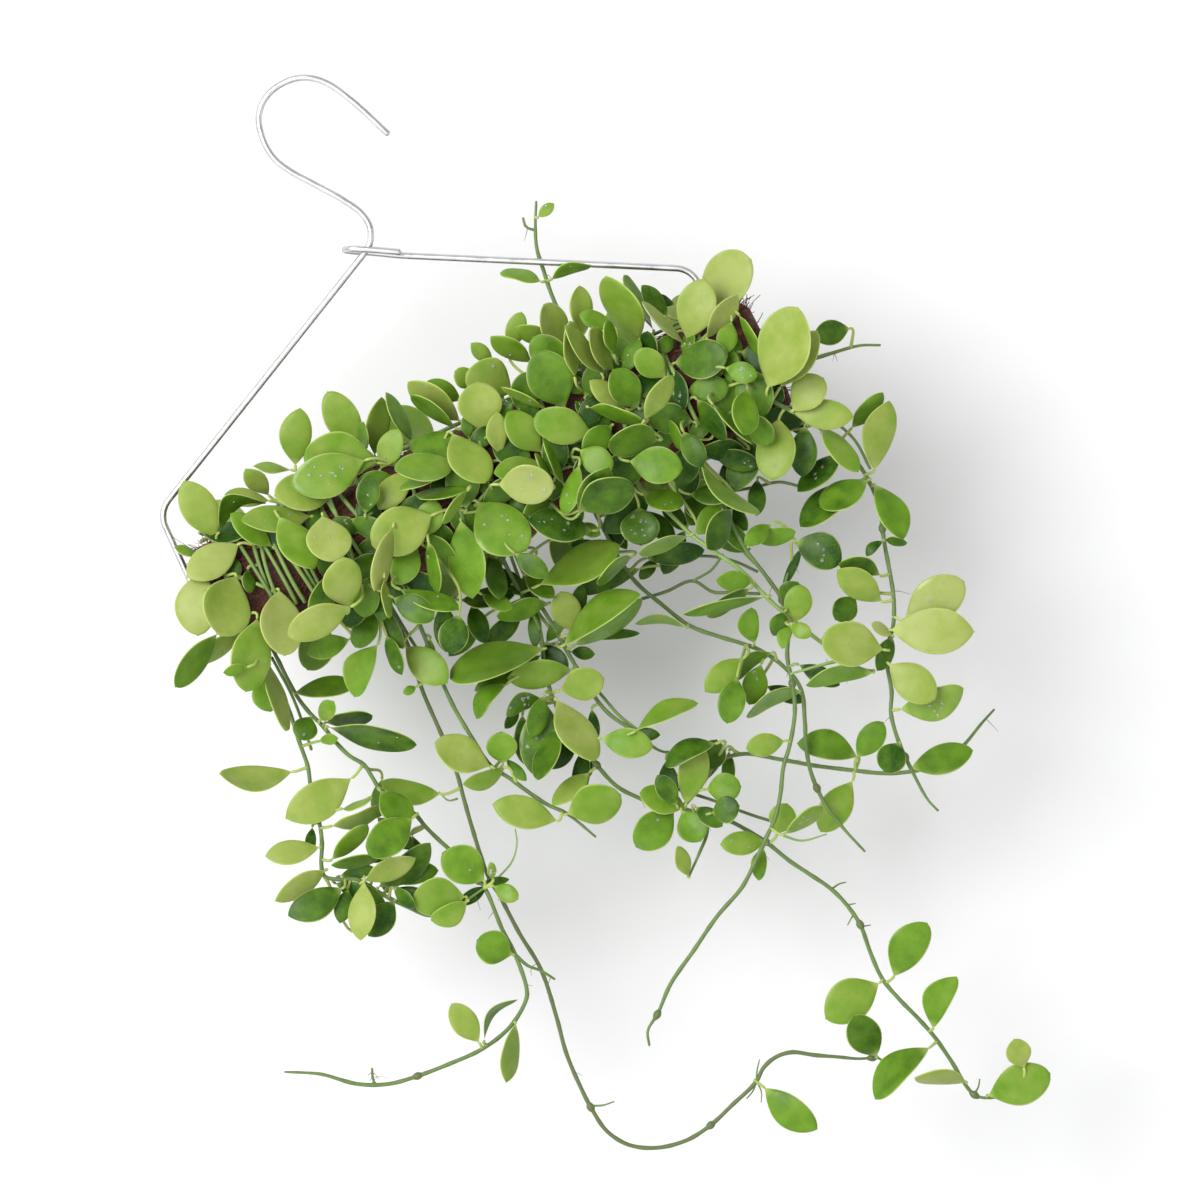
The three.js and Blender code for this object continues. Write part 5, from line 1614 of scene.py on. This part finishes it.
# %% Thin stems behind the sprays
THIN_STEMS = [
    ([(47, -262), (58, -263.5), (70, -264), (76, -272), (82, -275), (94, -281)], 0.75, 0.3),
    ([(70, -264), (79, -263), (86, -259)], 0.6, 0.4),
    ([(152, -226), (157, -238), (158, -252)], 0.7, 0.6),
    ([(64, -254), (74, -254.5), (82, -258), (90, -264), (97, -272)], 0.7, 0.3),
    ([(100, -236), (112, -239), (121, -241), (129, -247)], 0.7, 0.3),
    ([(8, -262), (9.5, -276), (14, -291), (17.5, -303), (22, -312)], 0.75, 0.6),
    ([(4, -219), (3, -236), (5, -252), (9, -266)], 0.8, 0.7),
    ([(88, -240), (92, -252), (97, -268)], 0.9, 0.8),
    ([(-52, -217), (-50, -236), (-47, -256)], 0.8, 0.6),
    ([(-107, -219), (-106, -240), (-108, -262)], 0.7, 0.5),
    ([(20, -336), (38, -352), (52, -366), (66, -378)], 0.7, 0.4),
]
THIN_STEM_AROUND = 8
THIN_STEM_BACK = 3
THIN_STEM_WEAVE = 1.5
LOG_BOTTOM = -230


def nearest_stem(x, z):
    """The stem point nearest to a place seen in the photograph, and the stem's way there"""
    best, least = None, math.inf
    for fine in all_stems:
        away = np.hypot(fine[:, 0] - x, fine[:, 2] - z)
        i = int(np.clip(away.argmin(), 1, len(fine) - 2))
        if away[i] < least:
            best, least = (fine[i], unit(fine[i + 1] - fine[i - 1])), away[i]
    return best


shaded_heap = Heap()
hanging = [fine for fine in all_stems if fine[-1, 2] < LOG_BOTTOM]
for points, radius, youth in THIN_STEMS:
    depth = nearest_stem(*points[0])[0][1] + THIN_STEM_BACK
    woven = [(x, depth + THIN_STEM_WEAVE * math.sin(i), z) for i, (x, z) in enumerate(points)]
    path = spaced_points(woven, FINE_STEP)
    tube(shaded_heap, path, np.full(len(path), radius), THIN_STEM_AROUND, (youth, 0, 0, 1), STEM_LOOK)
    hanging.append(path)
print(len(THIN_STEMS), "thin stems beside", len(hanging) - len(THIN_STEMS), "hanging ones")

# %% [markdown]
# Darker leaves hang there too; their low tone is painted shade. Each starts behind its nearest stem, and
# is moved back until it is clear of every leaf in front of it. Laying them outward, as on the log, would
# push them in front of the leaves that shade them.

# %% Leaves behind the hanging sprays
SHADED_ROWS = [
    (-20, -234, -22, -251, 9), (4, -246, -3, -262, 6), (2, -262, 14, -255, 6), (68, -224, 44, -229, 13),
    (44, -238, 52, -227, 9), (56, -247, 80, -254, 10), (76, -243, 60, -256, 10),
    (-2, -266, -34, -268, 9), (-2, -310, -13, -328, 8), (54, -335, 30, -343, 9),
    (-104, -322, -80, -331, 11), (-94, -300, -86, -318, 9), (-74, -214, -62, -223, 9),
    (-56, -216, -54, -239, 7), (119, -221, 101, -236, 13), (106, -222, 99, -238, 9),
    (92, -215, 80, -231, 11), (92, -244, 96, -262, 8), (84, -250, 98, -262, 7),
    (-30, -228, -38, -248, 10), (-8, -222, 4, -240, 9), (28, -226, 44, -243, 9),
    (-122, -318, -106, -334, 9), (-100, -330, -88, -346, 10), (-120, -340, -104, -335, 8),
    (96, -315, 108, -330, 8), (80, -318, 92, -331, 7), (-20, -286, -28, -305, 8),
    (-86, -286, -94, -300, 8), (-42, -240, -50, -254, 7), (64, -228, 70, -246, 9),
    (110, -210, 122, -226, 10), (14, -226, 2, -244, 9), (14, -264, 40, -275, 5),
    (52, -250, 22, -248, 8), (96, -240, 100, -254, 8), (113, -236, 106, -250, 8),
    (136, -212, 139, -227, 8), (84, -228, 86, -243, 11), (90, -230, 79, -242, 10),
    (72, -226, 77, -243, 8), (103, -283, 117, -271, 4), (-64, -346, -78, -348, 6),
    (-119, -316, -104, -319, 6), (18, -312, 30, -318, 6), (-121, -292, -127, -302, 5),
    (-1, -316, -10, -322, 6), (-3, -302, -18, -312, 10), (-2, -247, -22, -252, 9),
    (-20, -242, -38, -250, 9), (0, -262, 6, -276, 8), (28, -329, 22, -346, 9), (54, -337, 47, -351, 6),
    (60, -249, 50, -254, 6), (10, -270, 19, -275, 6), (48, -225, 50, -240, 6),
    (-66, -344, -54, -347, 4), (140, -212, 146, -224, 7), (8, -296, 4, -309, 5),
    (-34, -300, -30, -312, 5), (-20, -283, -29, -288, 5), (-96, -317, -104, -331, 8),
    (-84, -313, -87, -330, 8), (-93, -310, -104, -317, 7),
]
# The low tone of these leaves is painted shade.
PAINTED_SHADE_TONE = 0.08
TUCK_START = 2
TUCK_MARGIN = 2.2


def tuck_leaf(heap, ceiling, row, routes):
    depth = nearest_stem(row[0], row[1])[0][1] + TUCK_START
    leaf = Leaf(row, front.side, depth, LEAF_LEAN, draw.uniform(-0.4, 0.4))
    p = leaf.samples(1.5)
    leaf.base[1] += max(0, (TUCK_MARGIN - p[:, 1] - ceiling.over(p)).max())
    ceiling.add(leaf)
    add_leaf(heap, leaf, anchor_on(routes, leaf), PAINTED_SHADE_TONE + draw.uniform(-0.1, 0.16), LEAF_LOOK)


behind_all = Ceiling(front, seen_leaves)
for row in SHADED_ROWS:
    tuck_leaf(shaded_heap, behind_all, row, hanging)
shaded = shaded_heap.make("shaded_leaves", LOOKS)
print(len(SHADED_ROWS), "leaves and", len(THIN_STEMS), "thin stems behind the sprays")

# %% [markdown]
# ## Small things on the stems
#
# Where the stems are bare, the photograph shows short side twigs, old flower stalks, and joints with a
# slight swelling. They could be drawn into the material as bumps, but they change the outline. Each is
# placed by its x and z, and takes its depth from the nearest stem. A twig also has a radius and a
# youth.

# %% Twigs and joints
TWIGS = [
    ([(-63, -450), (-58, -452), (-53, -452.5)], 0.55, 0.5),
    ([(70, -408), (73, -407.5), (76, -408)], 0.5, 0.3), ([(72, -417), (76, -418)], 0.4, 0.3),
    ([(73, -422), (69, -425)], 0.4, 0.3), ([(74, -428), (78, -429)], 0.4, 0.3),
    ([(6, -470), (8, -466), (11, -462)], 0.45, 0.5), ([(6, -470), (3, -473), (-1, -475)], 0.45, 0.3),
    ([(6, -470), (6, -475), (4, -479)], 0.4, 0.3), ([(57, -482), (60, -486), (64, -491)], 0.6, 0.95),
    ([(60, -379), (66, -384), (77, -386)], 0.6, 0.9),
    ([(-61, -346), (-50, -341), (-45, -335), (-43, -329)], 0.55, 0.9),
    ([(-60, -307), (-64, -306), (-66, -301)], 0.5, 0.6),
    ([(-105, -182), (-98, -189), (-92, -196)], 1.1, 0.9),
    ([(-1, -197), (5, -194), (12, -191)], 1.1, 0.9), ([(88, -513), (91, -511), (93, -508)], 0.5, 0.4),
]
JOINTS = [
    (-21, -426), (74, -427), (-63, -450), (88, -513), (-61, -345), (52, -378), (33, -357), (101, -288),
    (82, -366), (152, -278), (121, -370), (-125, -407), (57, -482), (-20, -479), (90, -322), (0, -318),
]
TWIG_STEP = 1.2
TWIG_FORWARD = 0.6
TWIG_TIP = 0.55
TWIG_AROUND = 8
JOINT_HALF = 2.4
JOINT_CIRCLES = 9
JOINT_YOUTH = 0.3


def add_twig(heap, points, radius, youth):
    depth = nearest_stem(*points[0])[0][1]
    path = spaced_points([(x, depth - TWIG_FORWARD * i, z) for i, (x, z) in enumerate(points)], TWIG_STEP)
    radii = radius * np.linspace(1, TWIG_TIP, len(path))
    tube(heap, path, radii, TWIG_AROUND, (youth, 0, 0, 1), STEM_LOOK)


def add_joint(heap, x, z):
    spot, way = nearest_stem(x, z)
    run = np.linspace(-JOINT_HALF, JOINT_HALF, JOINT_CIRCLES)
    radii = STEM_RADIUS * (0.6 + 0.95 * np.cos(run / JOINT_HALF * np.pi / 2))
    tube(heap, spot + way * run[:, None], radii, STEM_AROUND, (JOINT_YOUTH, 0, 0, 1), STEM_LOOK)


twig_heap = Heap()
for points, radius, youth in TWIGS:
    add_twig(twig_heap, points, radius, youth)
for x, z in JOINTS:
    add_joint(twig_heap, x, z)

# %% [markdown]
# Stems of this plant send out hair-like rootlets that look for something to hold. Hair strands would be
# a quick way, but they are no mesh. These are thin tubes of four sides, which start in the middle of a
# stem at a drawn place, stand out from it and sag a little.

# %% Rootlets
ROOTLET_COUNT = 90
ROOTLET_POINTS = 7
ROOTLET_RADII = (0.2, 0.07)
ROOTLET_YOUTH = 0.05


def add_rootlet(heap):
    fine = all_stems[draw.integers(len(all_stems))]
    i = int(draw.integers(2, len(fine) - 1))
    out = unit(np.cross(unit(fine[i] - fine[i - 1]), unit(draw.normal(0, 1, 3))))
    sag = np.array([draw.normal(0, 0.3), 0.0, -0.5])
    share = np.linspace(0, 1, ROOTLET_POINTS)[:, None]
    path = fine[i] + (out * share + sag * share ** 2) * draw.uniform(2.5, 6)
    radii = np.linspace(*ROOTLET_RADII, ROOTLET_POINTS)
    tube(heap, path, radii, 4, (ROOTLET_YOUTH, 0, 0, 1), STEM_LOOK)


for _ in range(ROOTLET_COUNT):
    add_rootlet(twig_heap)
twigs = twig_heap.make("twigs_and_rootlets", LOOKS)
print("twigs, joints and", ROOTLET_COUNT, "rootlets:", len(twigs.data.polygons), "faces")

# %% [markdown]
# The plant had just been sprayed, and small drops lie on some leaves. Clear water is nearly invisible at
# this size. What the eye catches is the glints on the drops, so the water passes most of the light on, and
# the little white that it scatters is a painted glint.

# %% Finish of the water
WATER_IOR = 1.33
WATER_CLEARNESS = 0.84
# The water's white colour is a painted glint, scattered as pale specks.
GLINT_WHITE = (1, 1, 1, 1)
GREENISH_GLINT_WHITE = (0.97, 1, 0.97, 1)


def water_material():
    recipe = Recipe("water")
    recipe.feed(recipe.shader, "Transmission Weight", WATER_CLEARNESS)
    recipe.feed(recipe.shader, "IOR", WATER_IOR)
    film = recipe.noise(700, detail=2)
    recipe.feed(recipe.shader, "Roughness", recipe.ramp(film, [(0.3, 0.0), (0.7, 0.05)]))
    painted_glint = recipe.ramp(film, [(0.3, GREENISH_GLINT_WHITE), (0.7, GLINT_WHITE)])
    recipe.feed(recipe.shader, "Base Color", painted_glint)
    recipe.feed(recipe.shader, "Normal", recipe.bump(film, 0.00002, 0.4))
    return recipe.material


water_look = water_material()
print("drops are made of", water_look.name, "that passes on", WATER_CLEARNESS, "of the light")

# %% [markdown]
# A drop is a flattened bead, sunk a little into the leaf's outer face. A half bead would leave an open
# edge, so each one is closed. A drop has to follow the cup, the fold and the drawn outline of its
# leaf, which the blade has noted for this.

# %% Water drops
DROPS_PER_LEAF = 7
DAMP_LEAVES = 60
DROP_RINGS = 8
DROP_AROUND = 14
DROP_FLATNESS = 0.55


def face_spot(leaf, s, t):
    """A place on the outer face: s along the blade, t across it from -1 to 1"""
    half = np.interp(s, leaf.stations, leaf.half)
    aside = np.array([np.interp(s, leaf.stations, column) for column in leaf.aside.T])
    dome = OUTER_DOME * (1 - t * t) ** 0.4
    height = dome + (leaf.cup * t * t + leaf.fold * abs(t)) * half
    centre = leaf.centre_line(np.array([s]))[0] - aside
    return centre + leaf.across * half * t + leaf.normal * height


def add_drop(heap, leaf):
    spot = face_spot(leaf, draw.uniform(0.25, 0.85), draw.uniform(-0.65, 0.65))
    size = draw.uniform(0.3, 0.95)
    height = np.linspace(-0.5, 0.92, DROP_RINGS)
    turns = np.linspace(0, 2 * np.pi, DROP_AROUND, endpoint=False)[:, None]
    circle = leaf.across * np.cos(turns) + leaf.along * np.sin(turns) * draw.uniform(0.85, 1.15)
    wide = np.sqrt(1 - height ** 2)[:, None, None] * size
    rings = spot + circle * wide + leaf.normal * (height * size * DROP_FLATNESS)[:, None, None]
    low, top = spot - leaf.normal * size * 0.3, spot + leaf.normal * size * 0.54
    heap.add(rings[::-1], top, low, np.ones((DROP_RINGS, DROP_AROUND, 4)), 0)


drop_heap = Heap()
for leaf in wet_leaves:
    for _ in range(DROPS_PER_LEAF):
        add_drop(drop_heap, leaf)
for k in draw.choice(len(seen_leaves), DAMP_LEAVES, replace=False):
    for _ in range(draw.integers(1, 5)):
        add_drop(drop_heap, seen_leaves[k])
drops = drop_heap.make("water_drops", [water_look])
print(len(wet_leaves), "wet leaves with", DROPS_PER_LEAF, "drops each, and", DAMP_LEAVES, "with a few")

# %% [markdown]
# The photograph doesn't show the back. Mirrored front leaves would be recognised, so the back gets its
# own rule: rows of leaves round the log, each turned and shifted by a small number generator. It isn't
# the generator of the other cells, because the solid model uses the same one for the same leaves.

# %% Back foliage
BACK_SEED = 71
BACK_LEVELS = (-170, -184, -198, -212)
BACK_LEAVES = 8
BACK_FIRST = -94
BACK_STEP = 29
BACK_DRAPES = (1, 9, 28, 7, 28, 156)


def seeded_draws(seed):
    state = seed
    while True:
        state = (state * 16807) % 2147483647
        yield state / 2147483647


def back_rows():
    draws = seeded_draws(BACK_SEED)
    rows = []
    for level, z in enumerate(BACK_LEVELS):
        for k in range(BACK_LEAVES):
            x = BACK_FIRST + k * BACK_STEP + (level % 2) * 12 + 7 * (next(draws) - 0.5)
            base_z = z + 7 * (next(draws) - 0.5)
            heading = math.radians((90 if level == 0 else -90) + 110 * (next(draws) - 0.5))
            length = 21 + 7 * next(draws)
            width = length * (0.35 + 0.4 * next(draws))
            tip = (x + length * math.cos(heading), base_z + length * math.sin(heading))
            rows.append((x, base_z, *tip, width, 3 + 4 * next(draws)))
    return rows


add_spray("back_foliage", behind, draped_stems(*BACK_DRAPES), back_rows(), off_log(1))

# %% [markdown]
# ## The coir log
#
# Pressed coconut fibre is a mat of stiff brown hairs. A bumpy material on a smooth cylinder would
# look like clay where the fibres show at the rim, so the log is a lumpy core with real fibres on it.
# The core is one string of rings, as everything else, and carries low lumps and ribs.

# %% Core of the log
FIBRE_RELIEF = 1.1
CORE_RINGS = 150
CORE_AROUND = 96
CORE_ROUGHNESS = 0.22
CORE_LOOK, FIBRE_LOOK = 0, 1
LOG_MIDDLE_X = (LOG_LEFT + LOG_RIGHT) / 2
END_ROUNDING = 0.16
END_ROUNDING_LENGTH = 5


def log_reach(x, angle):
    """The core's radius at a distance x from its middle"""
    lumps = np.sin(0.23 * x + 2 * np.sin(angle)) + np.sin(0.11 * x - 3 * angle + 1.3)
    ribs = np.sin(7 * angle + 0.31 * x)
    return LOG_RADIUS + FIBRE_RELIEF * (0.3 * lumps + 0.4 * ribs)


core_x = np.linspace(LOG_LEFT, LOG_RIGHT, CORE_RINGS)
core_angle = np.linspace(0, 2 * np.pi, CORE_AROUND, endpoint=False)
x_grid, angle_grid = np.meshgrid(core_x - LOG_MIDDLE_X, core_angle, indexing="ij")
rough = draw.normal(0, CORE_ROUGHNESS, x_grid.shape)
end_gap = np.minimum(core_x - LOG_LEFT, LOG_RIGHT - core_x)[:, None]
rounding = 1 - END_ROUNDING * np.clip(1 - end_gap / END_ROUNDING_LENGTH, 0, 1) ** 2
core_reach = (log_reach(x_grid, angle_grid) + rough) * rounding
core_rings = np.stack([
    np.repeat(core_x[:, None], CORE_AROUND, 1),
    core_reach * np.sin(angle_grid),
    LOG_Z + core_reach * np.cos(angle_grid),
], axis=2)
left_end, right_end = np.array([LOG_LEFT, 0.0, LOG_Z]), np.array([LOG_RIGHT, 0.0, LOG_Z])
core_heap = Heap()
core_heap.add(core_rings, left_end, right_end, np.ones((CORE_RINGS, CORE_AROUND, 4)), CORE_LOOK)
print(f"the core's radius goes from {core_reach.min():.1f} to {core_reach.max():.1f} mm")

# %% [markdown]
# The fibres lie flat on the core, mostly along it, curl a little and hump up between their ends. Hair
# strands are made for this, but they don't export as a mesh, so each fibre is a thin tube of three
# sides. At both ends some stand out loose.

# %% Fibres on the log
FIBRE_COUNT = 2600
FRAY_COUNT = 150
FIBRE_PARTS = 6
FIBRE_AROUND = 3
FIBRE_HEADING_SPREAD = 0.55
LOOSE_FROM, LOOSE_TO = -2.6, -0.1


def add_fibre(heap, path, thinnest):
    radii = np.full(len(path), draw.uniform(thinnest, 0.2))
    tube(heap, path, radii, FIBRE_AROUND, (draw.random(), 0, 0, 1), FIBRE_LOOK)


def lay_fibre(heap):
    x = draw.uniform(LOG_LEFT + 2, LOG_RIGHT - 2)
    angle = draw.uniform(0, 2 * np.pi)
    heading = draw.normal(0, FIBRE_HEADING_SPREAD) + (np.pi if draw.random() < 0.5 else 0)
    step = draw.uniform(1.4, 3.6)
    curl = draw.normal(0, 0.16)
    proud = draw.uniform(0.1, 1.5)
    path = []
    for k in range(FIBRE_PARTS + 1):
        hump = proud * math.sin(math.pi * k / FIBRE_PARTS)
        reach = float(log_reach(x - LOG_MIDDLE_X, angle)) + 0.1 + hump
        path.append((x, reach * math.sin(angle), LOG_Z + reach * math.cos(angle)))
        x = min(max(x + step * math.cos(heading), LOG_LEFT + 0.5), LOG_RIGHT - 0.5)
        angle += step * math.sin(heading) / LOG_RADIUS
        heading += curl + draw.normal(0, 0.12)
    add_fibre(heap, np.array(path), 0.09)


def fray_fibre(heap, end, outward):
    """A loose fibre that stands out at an end of the log, on its front half"""
    angle = draw.uniform(LOOSE_FROM, LOOSE_TO)
    reach = LOG_RADIUS * draw.uniform(0.8, 1.02)
    start_x = end - outward * draw.uniform(1, 9)
    start = np.array([start_x, reach * math.sin(angle), LOG_Z + reach * math.cos(angle)])
    straight_out = np.array([outward * draw.uniform(0.3, 1), math.sin(angle), math.cos(angle)])
    way = unit(straight_out + draw.normal(0, 0.35, 3))
    share = np.linspace(0, 1, FIBRE_PARTS + 1)[:, None]
    path = start + way * share * draw.uniform(3, 8) + draw.normal(0, 1.5, 3) * share ** 2
    add_fibre(heap, path, 0.1)


for _ in range(FIBRE_COUNT):
    lay_fibre(core_heap)
for _ in range(FRAY_COUNT):
    fray_fibre(core_heap, LOG_RIGHT, 1)
    fray_fibre(core_heap, LOG_LEFT, -1)
print(FIBRE_COUNT, "fibres on the core and", 2 * FRAY_COUNT, "loose ones at its ends")

# %% [markdown]
# Coir is red brown where it is fresh and black brown where it is wet and pressed. A picture of coir
# could be laid on, but the fibres are there already, so the finish only has to colour them: hairs of
# noise, stretched along the log, in two browns for the core and two lighter ones for the fibres.

# %% Finish of the coir
def coir_material(name, low, high):
    recipe = Recipe(name)
    hairs = recipe.noise(500, detail=5, stretch=(0.25, 1, 1))
    recipe.feed(recipe.shader, "Base Color", recipe.ramp(hairs, [(0.3, low), (0.7, high)]))
    recipe.feed(recipe.shader, "Roughness", recipe.ramp(hairs, [(0.3, 0.7), (0.7, 0.92)]))
    recipe.feed(recipe.shader, "Normal", recipe.bump(hairs, 0.0008, 0.9))
    return recipe.material


coir_looks = [
    coir_material("coir core", colour(34, 16, 10), colour(88, 50, 36)),
    coir_material("coir fibre", colour(78, 34, 22), colour(150, 84, 58)),
]
coir = core_heap.make("coir", coir_looks)
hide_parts("coir_log")
print("coir:", len(coir.data.polygons), "faces")

# %% [markdown]
# The dressed plant's box could differ from the solid model's by the leaves' cups and ripples, but only by
# a millimetre or so.
